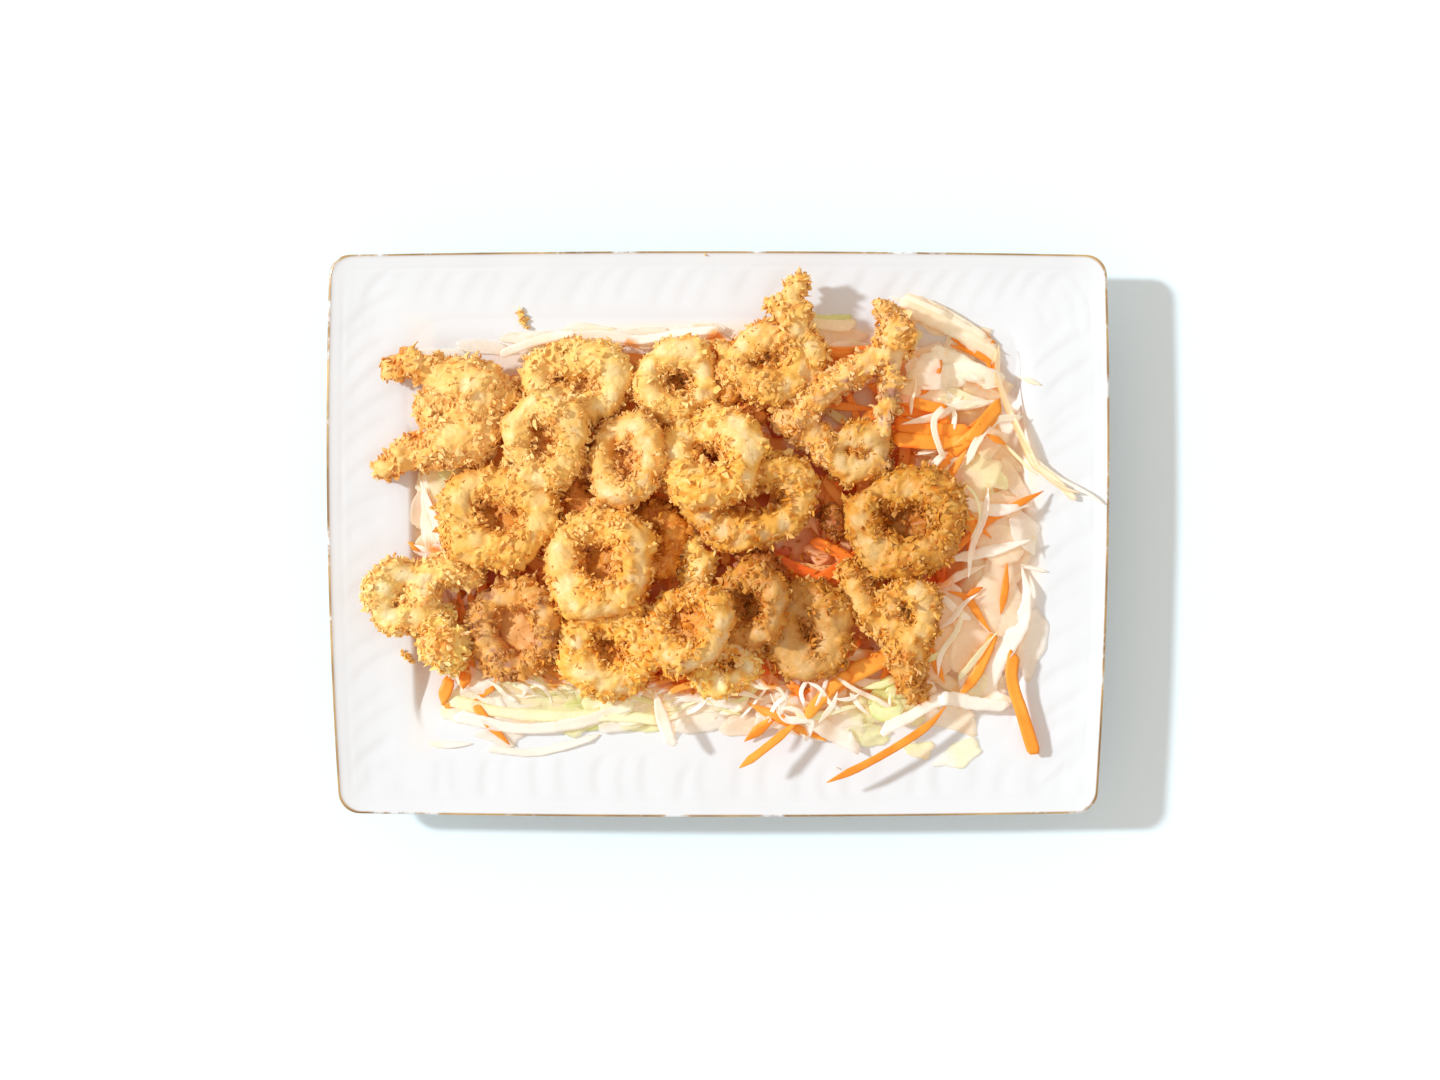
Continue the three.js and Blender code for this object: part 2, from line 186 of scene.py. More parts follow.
def voxels(V, F, size):
    """The union of closed skins as one skin of even squares."""
    ob = make("tmp", V, [(F, True)])
    m = ob.modifiers.new("r", "REMESH")
    m.mode, m.voxel_size = "VOXEL", size * 0.001
    ev = ob.evaluated_get(bpy.context.evaluated_depsgraph_get())
    me = ev.to_mesh()
    v = np.empty(len(me.vertices) * 3, np.float32)
    me.vertices.foreach_get("co", v)
    li = np.empty(len(me.loops), np.int32)
    me.loops.foreach_get("vertex_index", li)
    ev.to_mesh_clear()
    old = ob.data
    bpy.data.objects.remove(ob)
    bpy.data.meshes.remove(old)
    return v.reshape(-1, 3).astype(np.float64) * 1000, li.reshape(-1, 4)


def relaxed(V, F, times):
    e = np.concatenate([F[:, [0, 1]], F[:, [1, 2]], F[:, [2, 3]], F[:, [3, 0]]])
    count = np.bincount(e[:, 0], minlength=len(V)) + np.bincount(e[:, 1], minlength=len(V))
    for _ in range(times):
        s = np.zeros_like(V)
        for a in range(3):
            s[:, a] = np.bincount(e[:, 0], V[e[:, 1], a], len(V)) + np.bincount(e[:, 1], V[e[:, 0], a], len(V))
        V = lerp(V, s / count[:, None], 0.6)
    return V


# ------------------------------------------------------------------ materials
def node_material(name):
    m = bpy.data.materials.new(name)
    m.use_nodes = True
    t = m.node_tree
    return m, t, t.nodes["Principled BSDF"]


def add(t, kind, inputs=None, **props):
    n = t.nodes.new(kind)
    for k, v in props.items():
        setattr(n, k, v)
    for k, v in (inputs or {}).items():
        n.inputs[k].default_value = v
    return n


def food_material(name, spread, grain, bump, rough, alpha=1.0, glow=None):
    """Vertex colour broken up by fine grain, which also roughens the light."""
    m, t, p = node_material(name)
    L = t.links.new
    where = add(t, "ShaderNodeTexCoord")
    col = add(t, "ShaderNodeAttribute", attribute_name="Col")
    n1 = add(t, "ShaderNodeTexNoise", {"Scale": 1000 / grain, "Detail": 3.0, "Roughness": 0.6})
    n2 = add(t, "ShaderNodeTexNoise", {"Scale": 1000 / (grain * 5), "Detail": 2.0})
    L(where.outputs["Object"], n1.inputs["Vector"])
    L(where.outputs["Object"], n2.inputs["Vector"])
    r1 = add(t, "ShaderNodeMapRange", {"From Min": 0.25, "From Max": 0.75, "To Min": 1 - spread, "To Max": 1 + spread})
    L(n1.outputs["Fac"], r1.inputs["Value"])
    mul = add(t, "ShaderNodeVectorMath", operation="SCALE")
    L(col.outputs["Color"], mul.inputs[0])
    L(r1.outputs["Result"], mul.inputs["Scale"])
    L(mul.outputs["Vector"], p.inputs["Base Color"])
    r2 = add(t, "ShaderNodeMapRange", {"From Min": 0.3, "From Max": 0.7, "To Min": rough[0], "To Max": rough[1]})
    L(n2.outputs["Fac"], r2.inputs["Value"])
    L(r2.outputs["Result"], p.inputs["Roughness"])
    b = add(t, "ShaderNodeBump", {"Strength": bump, "Distance": grain * 0.0005})
    L(n1.outputs["Fac"], b.inputs["Height"])
    L(b.outputs["Normal"], p.inputs["Normal"])
    p.inputs["Specular IOR Level"].default_value = 0.4
    p.inputs["Alpha"].default_value = alpha
    if glow:                                 # painted glow: a plain emission standing in for light that seeps through thin leaves
        p.inputs["Emission Color"].default_value = (*glow[1], 1)
        p.inputs["Emission Strength"].default_value = glow[0]
    return m


def porcelain_material():
    m, t, p = node_material("porcelain")
    L = t.links.new
    where = add(t, "ShaderNodeTexCoord")
    # a faint uneven warmth in the glaze
    n = add(t, "ShaderNodeTexNoise", {"Scale": 38.0, "Detail": 3.0})
    L(where.outputs["Object"], n.inputs["Vector"])
    ramp = add(t, "ShaderNodeValToRGB")
    ramp.color_ramp.elements[0].position, ramp.color_ramp.elements[1].position = 0.3, 0.7
    ramp.color_ramp.elements[0].color = (0.78, 0.785, 0.785, 1)
    ramp.color_ramp.elements[1].color = (0.805, 0.81, 0.81, 1)
    L(n.outputs["Fac"], ramp.inputs["Fac"])
    # painted light: the well is painted whiter against the shade its walls throw on it, and its left wall and the
    # platter beside the salad are painted warm as painted bounce light from the food
    well, wall = (add(t, "ShaderNodeAttribute", attribute_name=k) for k in ("well", "wall"))
    w1 = add(t, "ShaderNodeMix", {7: (0.825, 0.832, 0.833, 1)}, data_type="RGBA")
    L(well.outputs["Fac"], w1.inputs["Factor"])
    L(ramp.outputs["Color"], w1.inputs[6])
    w2 = add(t, "ShaderNodeMix", {7: (0.98, 0.85, 0.69, 1)}, data_type="RGBA")
    L(wall.outputs["Fac"], w2.inputs["Factor"])
    L(w1.outputs[2], w2.inputs[6])
    # gilding on the lip, worn in places
    gild = add(t, "ShaderNodeAttribute", attribute_name="gild")
    wear = add(t, "ShaderNodeTexNoise", {"Scale": 55.0, "Detail": 5.0, "Roughness": 0.65})
    L(where.outputs["Object"], wear.inputs["Vector"])
    worn = add(t, "ShaderNodeMapRange", {"From Min": 0.36, "From Max": 0.46})
    L(wear.outputs["Fac"], worn.inputs["Value"])
    both = add(t, "ShaderNodeMath", operation="MULTIPLY")
    L(gild.outputs["Fac"], both.inputs[0])
    L(worn.outputs["Result"], both.inputs[1])
    gold = add(t, "ShaderNodeValToRGB")
    gold.color_ramp.elements[0].position, gold.color_ramp.elements[1].position = 0.35, 0.68
    gold.color_ramp.elements[0].color = (0.33, 0.17, 0.06, 1)
    gold.color_ramp.elements[1].color = (0.72, 0.47, 0.20, 1)
    L(n.outputs["Fac"], gold.inputs["Fac"])
    c = add(t, "ShaderNodeMix", data_type="RGBA")
    L(both.outputs[0], c.inputs["Factor"])
    L(w2.outputs[2], c.inputs[6])
    L(gold.outputs["Color"], c.inputs[7])
    L(c.outputs[2], p.inputs["Base Color"])
    metal = add(t, "ShaderNodeMath", {1: 0.6}, operation="MULTIPLY")
    L(both.outputs[0], metal.inputs[0])
    L(metal.outputs[0], p.inputs["Metallic"])
    fine = add(t, "ShaderNodeTexNoise", {"Scale": 260.0, "Detail": 2.0})
    L(where.outputs["Object"], fine.inputs["Vector"])
    rough = add(t, "ShaderNodeMapRange", {"To Min": 0.16, "To Max": 0.26})
    L(fine.outputs["Fac"], rough.inputs["Value"])
    L(rough.outputs["Result"], p.inputs["Roughness"])
    b = add(t, "ShaderNodeBump", {"Strength": 0.04, "Distance": 0.0005})
    L(n.outputs["Fac"], b.inputs["Height"])
    L(b.outputs["Normal"], p.inputs["Normal"])
    return m


CRUST = food_material("fried_crumb", 0.10, 0.8, 0.5, (0.40, 0.65))
# painted glow on the thin cabbage: a plain emission standing in for light passing through it and bounced from the food
PAINTED_SEEP_GLOW = (0.13, (1.0, 0.62, 0.28))
SALAD = food_material("cabbage", 0.05, 1.6, 0.15, (0.3, 0.5))
LEAF = food_material("cabbage_leaf", 0.05, 2.2, 0.12, (0.3, 0.5), 0.45, PAINTED_SEEP_GLOW)
SHRED = food_material("cabbage_shred", 0.05, 1.6, 0.12, (0.3, 0.5), 0.66, PAINTED_SEEP_GLOW)
# shaded copy of the cabbage, for the shreds under the heap, with a painted orange glow standing in for light bounced
# from the fried pieces
SHADED = food_material("cabbage_under_heap", 0.05, 1.8, 0.12, (0.4, 0.6), 0.85, (0.09, (1.0, 0.26, 0.03)))
# the carrot has a faint painted orange glow that lifts its shaded parts
CARROT = food_material("carrot", 0.09, 1.1, 0.25, (0.42, 0.60), 1.0, (0.07, (1.0, 0.30, 0.03)))
PORCELAIN = porcelain_material()


# ------------------------------------------------------------------ camera, light, floor
def stage():
    camera = bpy.data.objects.new("camera", bpy.data.cameras.new("camera"))
    bpy.context.scene.collection.objects.link(camera)
    camera.location = (0.00084, -0.00253, 0.024 + 1.6)
    camera.data.sensor_width = 36
    camera.data.lens = 94.79
    camera.data.clip_end = 20
    bpy.context.scene.camera = camera

    sun = bpy.data.objects.new("sun", bpy.data.lights.new("sun", "SUN"))
    bpy.context.scene.collection.objects.link(sun)
    down, turn = math.radians(35.5), math.radians(-15.75)
    from mathutils import Vector
    travel = Vector((math.cos(down) * math.cos(turn), math.cos(down) * math.sin(turn), -math.sin(down)))
    sun.rotation_euler = travel.to_track_quat("-Z", "Y").to_euler()
    sun.data.energy = 3.2
    sun.data.angle = math.radians(4.5)
    sun.data.color = (0.80, 0.905, 1.0)

    world = bpy.data.worlds.new("studio")
    bpy.context.scene.world = world
    world.use_nodes = True
    world.node_tree.nodes["Background"].inputs["Color"].default_value = (1.0, 0.915, 0.845, 1)
    world.node_tree.nodes["Background"].inputs["Strength"].default_value = 0.73
    bpy.context.scene.view_settings.view_transform = "Standard"

    m, t, p = node_material("table")
    n = add(t, "ShaderNodeTexNoise", {"Scale": 3.0})
    ramp = add(t, "ShaderNodeValToRGB")
    ramp.color_ramp.elements[0].color = (0.835, 0.935, 0.975, 1)
    ramp.color_ramp.elements[1].color = (0.855, 0.955, 0.99, 1)
    t.links.new(n.outputs["Fac"], ramp.inputs["Fac"])
    t.links.new(ramp.outputs["Color"], p.inputs["Base Color"])
    p.inputs["Roughness"].default_value = 0.9
    p.inputs["Specular IOR Level"].default_value = 0.1
    s = 3000.0
    floor = make("table", np.array([[-s, -s, -0.2], [s, -s, -0.2], [s, s, -0.2], [-s, s, -0.2]]), [(np.array([[0, 1, 2, 3]]), False)], material=m)


# ------------------------------------------------------------------ platter
HX, HY, TOP, CORNER = 165.0, 119.5, 24.0, 8.5
WX, WY = HX - 34, HY - 28
ROWS = np.array([
    [WX - 8.0, WY - 8.0, CORNER + 5.5, 16.4], [WX - 5.6, WY - 5.6, CORNER + 7.5, 17.4], [WX - 3.4, WY - 3.4, CORNER + 9, 19.5],
    [WX - 1.6, WY - 1.6, CORNER + 10, 21.3], [WX, WY, CORNER + 11, 22.0], [HX - 18, HY - 14.5, CORNER + 5.5, 22.6],
    [HX - 2, HY - 1.7, CORNER + 0.5, 23.6], [HX - 0.8, HY - 0.7, CORNER, 24.0], [HX, HY, CORNER, 23.0],
    [HX - 0.8, HY - 0.7, CORNER, 21.0], [HX - 17, HY - 14, CORNER + 4.5, 18.8], [WX + 2, WY + 2, CORNER + 7, 17.4],
    [WX - 4, WY - 4.5, CORNER + 6.5, 14.4], [WX - 10, WY - 10, CORNER + 4, 12.2], [WX - 14, WY - 13, CORNER + 3.5, 10.0],
    [WX - 16.5, WY - 15.5, CORNER + 3.5, 0.0], [WX - 21, WY - 20, CORNER + 1, 0.0], [WX - 23, WY - 22, CORNER + 1, 11.6]])


def warp(x, y):
    return x * (1 + 0.0128 * (y / 120) - 0.019 * (y / 120) ** 2), y * (1 - 0.014 * (x / 165) ** 2)


def apron(x, y):
    """The well's floor rises gently towards its two long sides and its far left corner."""
    corner = smoothstep(-x, 92, 122) * smoothstep(y, 20, 48)
    return lerp(16.4, 22.0, np.maximum(np.maximum(smoothstep(y, 58, 88), smoothstep(-y, 55, 85)), corner))


def plate_top(x, y):
    """Height of the platter's upper side."""
    s = 1 + 0.0128 * (y / 120) - 0.019 * (y / 120) ** 2
    u, v = np.abs(x / s), np.abs(y / (1 - 0.014 * (x / 165) ** 2))
    z = np.full(np.shape(x), 16.4)
    d = [np.maximum(u - a, v - b) for a, b, _, _ in ROWS[:8]]
    for k in range(7):
        t = np.clip(d[k] / np.maximum(d[k] - d[k + 1], 1e-6), 0, 1)
        z = np.where(d[k] > 0, lerp(ROWS[k, 3], ROWS[k + 1, 3], t), z)
    z = np.where(d[4] < 0, np.maximum(z, apron(x, y)), z)
    return np.where(d[7] > 0, -50.0, z)


def hermite(x, xs, ys):
    """Smooth curve through (xs, ys) without overshoot."""
    xs, ys = np.asarray(xs, float), np.asarray(ys, float)
    h, d = np.diff(xs), np.diff(ys) / np.diff(xs)
    m = np.zeros_like(ys)
    same = d[:-1] * d[1:] > 0
    w1, w2 = 2 * h[1:] + h[:-1], h[1:] + 2 * h[:-1]
    m[1:-1][same] = ((w1 + w2)[same]) / (w1[same] / d[:-1][same] + w2[same] / d[1:][same])
    m[0], m[-1] = d[0], d[-1]
    k = np.clip(np.searchsorted(xs, x, side="right") - 1, 0, len(h) - 1)
    t = (x - xs[k]) / h[k]
    return ((1 + 2 * t) * (1 - t) ** 2 * ys[k] + t * (1 - t) ** 2 * h[k] * m[k]
            + t * t * (3 - 2 * t) * ys[k + 1] + t * t * (t - 1) * h[k] * m[k + 1])


def strokes():
    """Middle lines of the gouge marks: soft curved strokes right round the rim, each leaning like a slash."""
    rng = np.random.default_rng(31)
    out = []

    def add_stroke(a, b, bulge):
        a, b = np.array(a, float), np.array(b, float)
        m = (a + b) / 2 + np.array(bulge) * rng.uniform(0.5, 1.4)
        t = np.linspace(0, 1, 12)[:, None]
        out.append(((1 - t) ** 2 * a + 2 * t * (1 - t) * m + t * t * b, rng.uniform(0.16, 0.36)))

    for side in (-1, 1):
        y = -112.0
        while y < 100:
            reach = rng.uniform(0.65, 1.0)
            if side < 0:
                add_stroke((-157.5, y), (-157.5 + 25 * reach, y + 17 * reach + rng.normal(0, 1.5)), (-3.0, 3.5))
            else:
                add_stroke((157.5 - 25 * reach, y), (157.5, y + 17 * reach + rng.normal(0, 1.5)), (-2.5, 3.0))
            y += rng.uniform(8.5, 14.5)
        x = -150.0
        while x < 148:
            reach = rng.uniform(0.7, 1.0)
            if side < 0:
                add_stroke((x, -112.0), (x + rng.normal(1.5, 1.5), -112 + 20 * reach), (-4.0, 0.5))
            else:
                add_stroke((x, 112.5 - 20 * reach), (x + rng.uniform(7, 12), 112.5), (-3.0, 2.5))
            x += rng.uniform(9.0, 15.0)
    for k in range(4):
        r = 6.0 + 6.5 * k
        a = np.radians(np.linspace(-18, 62, 12))
        out.append((np.stack([132 + r * np.cos(a), 92 + r * np.sin(a)], -1), 0.3))
    return out


def relief(x, y):
    """Height in mm of the soft gouge marks that overlap round the rim, inside a plain border."""
    edge = np.minimum(HX - np.abs(x), HY - np.abs(y))          # distance in from the outer edge
    inner = smoothstep(np.maximum(np.abs(x) - WX, np.abs(y) - WY), 0.5, 4.5)
    p = np.stack([x, y, np.zeros_like(x)], -1)
    wx, wy = x + 0.9 * noise(p, 11, 32), y + 0.9 * noise(p, 11, 33)
    h = np.zeros_like(x)
    for line, depth in strokes():
        lo, hi = line.min(0) - 10, line.max(0) + 10
        at = np.flatnonzero((wx > lo[0]) & (wx < hi[0]) & (wy > lo[1]) & (wy < hi[1]) & (inner > 0))
        d = np.stack([wx[at], wy[at]], -1)[:, None] - line[None]
        k = (d * d).sum(-1).argmin(1)
        tan = unit(np.gradient(line, axis=0))[k]
        off = d[np.arange(len(at)), k]
        v = tan[:, 0] * off[:, 1] - tan[:, 1] * off[:, 0]
        past = np.abs((tan * off).sum(-1))
        fade = np.exp(-(past / 3.0) ** 2) * smoothstep(np.minimum(k, 11 - k) + 1.5, 0, 4)
        cut = np.where(v > 0, np.exp(-(v / 1.1) ** 2), np.exp(-(v / 5.0) ** 2))
        h[at] = np.minimum(h[at], -depth * fade * cut)
    border = smoothstep(edge + 0.5 * noise(p, 12, 36), 5.6, 7.6)
    groove = -0.10 * np.exp(-((edge - 6.4) / 0.8) ** 2) * (1 - 0.6 * noise(p, 20, 37))
    return border * inner * (h + 0.05 * noise(p, 9, 38)) + groove


def plate():
    # profile stations: dense over the rim
    k = np.arange(len(ROWS))
    arc = np.concatenate([[0], np.cumsum(np.hypot(np.hypot(*np.diff(ROWS[:, :2], axis=0).T) / 1.414, np.diff(ROWS[:, 3])))])
    steps = [4, 4, 4, 4, 16, 18, 3, 3, 3, 6, 5, 4, 3, 3, 3, 2, 2]
    s = np.concatenate([np.linspace(arc[i], arc[i + 1], n, endpoint=False) for i, n in enumerate(steps)] + [[arc[-1]]])
    prof = np.stack([hermite(s, arc, ROWS[:, c]) for c in range(4)], -1)
    # columns: straight sides at about 1.25 mm, corners at 1.1 mm
    nc, nlx, nly = 10, 134, 98
    cols = []
    for c, (sx, sy, start) in enumerate([(1, 1, 0), (-1, 1, 90), (-1, -1, 180), (1, -1, 270)]):
        for i in range(nc):
            t = math.radians(start + 90 * i / (nc - 1))
            cols.append((sx, sy, math.cos(t), math.sin(t), 0, 0, 0))
        nx, ny = [(-1, 1), (-1, -1), (1, -1), (1, 1)][c]
        t0 = math.radians(start + 90)
        n = nlx if c in (0, 2) else nly
        for i in range(1, n):
            cols.append((sx, sy, math.cos(t0), math.sin(t0), nx, ny, i / n))
    sx, sy, ct, st, nx, ny, f = (np.array(v) for v in zip(*cols))
    P = []
    for a, b, r, z in prof:
        x0, y0 = sx * (a - r) + r * ct, sy * (b - r) + r * st
        x1, y1 = nx * (a - r) + r * ct, ny * (b - r) + r * st
        x, y = lerp(x0, x1, f), lerp(y0, y1, f)
        P.append(np.stack([x, y, np.full_like(x, z)], -1))
    P = np.array(P)                                            # rows, columns, 3
    flat = P.reshape(-1, 3)
    row = np.repeat(np.arange(len(s)), len(f))
    top = (row >= sum(steps[:4])) & (row <= sum(steps[:6]) + 1)
    flat[:, 2] += np.where(top, relief(flat[:, 0], flat[:, 1]), 0)
    floor = row < sum(steps[:4])
    flat[floor, 2] = np.maximum(flat[floor, 2], apron(flat[floor, 0], flat[floor, 1]))
    # the lip and the well's wall are not dead straight
    low = noise(flat, 40, 41)
    flat[:, 2] += np.where(flat[:, 2] > 12, 0.15 * low, 0)
    wx, wy = warp(flat[:, 0], flat[:, 1])
    flat[:, 0], flat[:, 1] = wx, wy
    n0 = len(f)
    F = grid_faces(len(s), n0, False, True)
    V = [flat]
    caps = []
    at = len(flat)
    for r, z in ((0, 16.4), (len(s) - 1, 11.6)):
        # floor discs: shrinking copies of the last row, so the floor is an even sheet
        base = flat[r * n0:(r + 1) * n0]
        prev = np.arange(r * n0, (r + 1) * n0)
        for q in (0.92, 0.84, 0.75, 0.45, 0.15):
            ring = base.copy()
            ring[:, :2] *= q
            ring[:, 2] = np.maximum(z, apron(ring[:, 0], ring[:, 1])) if r == 0 else z
            V.append(ring)
            cur = np.arange(at, at + n0)
            at += n0
            caps.append(np.stack([cur, np.roll(cur, -1), np.roll(prev, -1), prev], -1) if r else np.stack([prev, np.roll(prev, -1), np.roll(cur, -1), cur], -1))
            prev = cur
        V.append(np.array([[0, 0, z]]))
        centre = np.full(n0, at)
        at += 1
        caps.append(np.stack([centre, np.roll(prev, -1), prev], -1) if r else np.stack([prev, np.roll(prev, -1), centre], -1))
    V = np.concatenate(V)
    quads = np.concatenate([F] + [c for c in caps if c.shape[1] == 4])
    tris = np.concatenate([c for c in caps if c.shape[1] == 3])
    if volume(V, quads) + volume(V, tris) < 0:
        quads, tris = quads[:, ::-1], tris[:, ::-1]
    edge_row = sum(steps[:7])
    gild = np.zeros(len(V))
    for r, w in ((edge_row - 1, 0.35), (edge_row, 1.0), (edge_row + 1, 1.0), (edge_row + 2, 1.0), (edge_row + 3, 0.9), (edge_row + 4, 0.3)):
        gild[r * n0:(r + 1) * n0] = w
    u, v = np.abs(V[:, 0]), np.abs(V[:, 1])
    # painted light: whiter towards the middle of the well, against the shade of its walls
    well = smoothstep(np.maximum(u - WX, v - WY), 20, -14)
    # painted warm bounce light on the left wall of the well and on the platter beside the salad
    wall = 0.24 * smoothstep(np.maximum(u - WX, v - WY), 4, -4) * smoothstep(-V[:, 0], WX - 13, WX - 9)
    wall = np.maximum(wall, 0.9 * smoothstep(bed_s(V[:, 0], V[:, 1]), 1.04, 0.97))
    ob = make("porcelain_platter", V, [(quads, True), (tris, True)], extra={"gild": gild, "well": well, "wall": wall}, material=PORCELAIN)
    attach(ob, "root")
    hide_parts("plate")
    return ob


# ------------------------------------------------------------------ fried pieces
# centre, half-length and half-width over the crust, turn, half-thickness of the wall and of the height, lean
RINGS = {
    "ring_21": (-26.6, -2.1, 32.4, 13.0, 16.0, 0, 5.4, 5.0, 0, 3),
    "ring_01": (-53.2, 19.4, 32.3, 13.0, 13.0, 0, 5.2, 5.0, 3, -3),
    "ring_18": (2.5, -54.4, 33.0, 16.0, 12.5, 12, 5.0, 5.4, 3, 4),
    "ring_11": (-92.2, 7.2, 35.1, 25.5, 21.7, -12, 7.7, 6.8, -3, 3),
    "ring_02": (-59.9, 63.3, 33.0, 23.9, 18.0, -6, 7.0, 6.4, -6, 9),
    "ring_05": (-17.5, 64.1, 33.5, 18.4, 17.8, 20, 5.9, 6.0, 6, 3),
    "cluster_top": (21.5, 72.1, 34.0, 19.4, 17.2, 10, 6.8, 6.4, 0, 12),
    "ring_08": (13.5, 13.9, 35.2, 28.3, 19.0, 9, 6.6, 6.8, 0, 2),
    "ring_10": (78.7, 5.0, 36.7, 25.3, 22.4, 8, 7.2, 6.8, -6, 3),
    "ring_09": (58.8, 34.3, 33.6, 15.0, 13.2, 15, 6.0, 5.0, -3, -3),
    "cluster_lower_left": (-132.6, -26.5, 35.7, 15.3, 15.7, 0, 6.4, 6.0, 4, 0),
    "ring_14": (-84.8, -40.1, 32.4, 19.4, 20.5, 0, 5.7, 6.4, -9, -3),
    "ring_15": (-45.1, -48.4, 34.7, 22.4, 20.0, -15, 7.2, 6.5, 0, -3),
    "ring_19": (37.8, -40.4, 34.1, 19.0, 21.2, 12, 7.9, 6.0, -3, 0),
    "cluster_right": (79.1, -33.2, 36.3, 14.0, 15.6, 0, 6.0, 6.0, -3, 0),
    "ring_17": (14.8, -29.8, 39.0, 17.0, 17.6, 0, 5.0, 6.0, -36, 0),
    "ring_16": (-11.7, -38.9, 44.1, 19.0, 19.0, 0, 5.6, 6.6, -19, 23),
    "ring_03": (-72.6, 39.0, 41.8, 18.7, 21.5, -5, 6.5, 7.0, -12, -3),
    "ring_07": (-2.9, 31.9, 41.2, 22.4, 22.2, 0, 8.1, 7.5, -9, 21),
    "ring_04": (-38.1, 31.4, 42.6, 16.5, 19.6, 0, 5.5, 6.0, -18, 12),
    "ring_12": (-49.5, -12.2, 40.3, 23.4, 24.0, 0, 7.4, 7.5, -12, 9),
}
# tentacles and strips: rows of x, y, z, radius
LIMBS = {
    "cluster_top": [
        [(32.4, 84.4, 36.6, 6.5), (32.1, 92.0, 36.8, 6.0), (30.4, 99.6, 36.6, 5.0), (34.6, 105.9, 35.8, 3.6)],
        [(30.4, 89.5, 37.0, 4.2), (22.4, 96.2, 37.4, 2.6)],
        [(2.4, 77.6, 32.0, 3.8), (4.6, 68.4, 32.4, 4.4), (5.0, 57.8, 31.6, 3.8)],
        [(36.6, 82.7, 37.6, 4.6), (40.9, 74.3, 35.4, 5.0), (38.3, 65.8, 33.0, 4.2)],
  ],
    "cluster_lower_left": [[(-124.5, -18.9, 34.0, 6.0), (-115.1, -15.2, 32.6, 6.6), (-103.0, -16.9, 30.8, 5.6)]],
    "cluster_right": [
        [(80.2, -42.7, 36.6, 7.0), (79.3, -54.0, 35.6, 8.0), (81.0, -62.5, 31.8, 5.6), (84.4, -67.5, 29.0, 3.6)],
        [(70.1, -39.4, 35.4, 5.2), (63.3, -32.9, 35.2, 5.6), (58.2, -24.5, 34.6, 6.2), (55.7, -16.0, 32.8, 5.2)],
  ],
    "cluster_left": [
        [(-91.0, 56.0, 31.5, 7.5), (-100.5, 60.5, 33.0, 10.5), (-112.0, 63.0, 33.2, 9.0), (-122.6, 68.0, 32.2, 6.0), (-131.2, 71.0, 31.0, 4.4), (-138.0, 67.5, 29.8, 3.4)],
        [(-97.0, 44.5, 31.6, 8.5), (-108.0, 40.0, 33.0, 10.5), (-119.0, 37.0, 32.6, 8.4), (-130.4, 33.0, 30.8, 6.4), (-139.6, 28.2, 29.0, 4.6)],
        [(-98.0, 58.0, 32.6, 9.0), (-107.0, 50.0, 33.0, 10.0), (-108.0, 41.0, 32.8, 9.0)],
        [(-113.0, 58.0, 32.6, 7.6), (-120.0, 53.0, 31.8, 6.8), (-116.5, 45.0, 31.8, 7.0)],
  ],
    "cluster_upper_right": [
        [(27.4, 46.0, 33.0, 4.6), (38.0, 54.0, 35.2, 5.8), (50.5, 63.5, 36.8, 6.2), (62.5, 72.0, 37.4, 6.0), (72.5, 78.0, 37.0, 7.2), (74.5, 85.6, 36.0, 7.0), (68.6, 94.0, 34.4, 3.8)],
        [(73.8, 79.8, 37.6, 5.4), (72.2, 67.1, 37.6, 4.6), (70.9, 55.7, 37.5, 4.6), (69.2, 44.7, 37.7, 3.8)],
        [(28.5, 51.0, 32.0, 5.8), (35.0, 46.0, 33.4, 8.2), (42.0, 39.5, 32.8, 6.4), (46.0, 33.0, 32.2, 5.2)],
  ],
    "nugget": [[(-119.5, -36.5, 31.0, 7.4), (-115.6, -45.0, 31.8, 10.2), (-112.6, -52.6, 29.5, 7.0)]],
    "strip_1": [[(-8.9, -4.6, 30.9, 4.4), (-8.0, -11.8, 32.0, 5.4), (-9.3, -21.1, 32.2, 5.0)]],
    "strip_2": [[(10.1, -8.0, 31.7, 3.8), (17.7, -12.2, 32.6, 4.6), (24.9, -20.3, 31.1, 4.2)]],
    "strip_3": [[(10.5, 51.5, 30.9, 4.2), (16.5, 49.8, 30.7, 4.0)]],
    "strip_4": [[(47.3, 8.0, 31.0, 3.6), (49.8, 2.1, 30.6, 3.6)]],
}
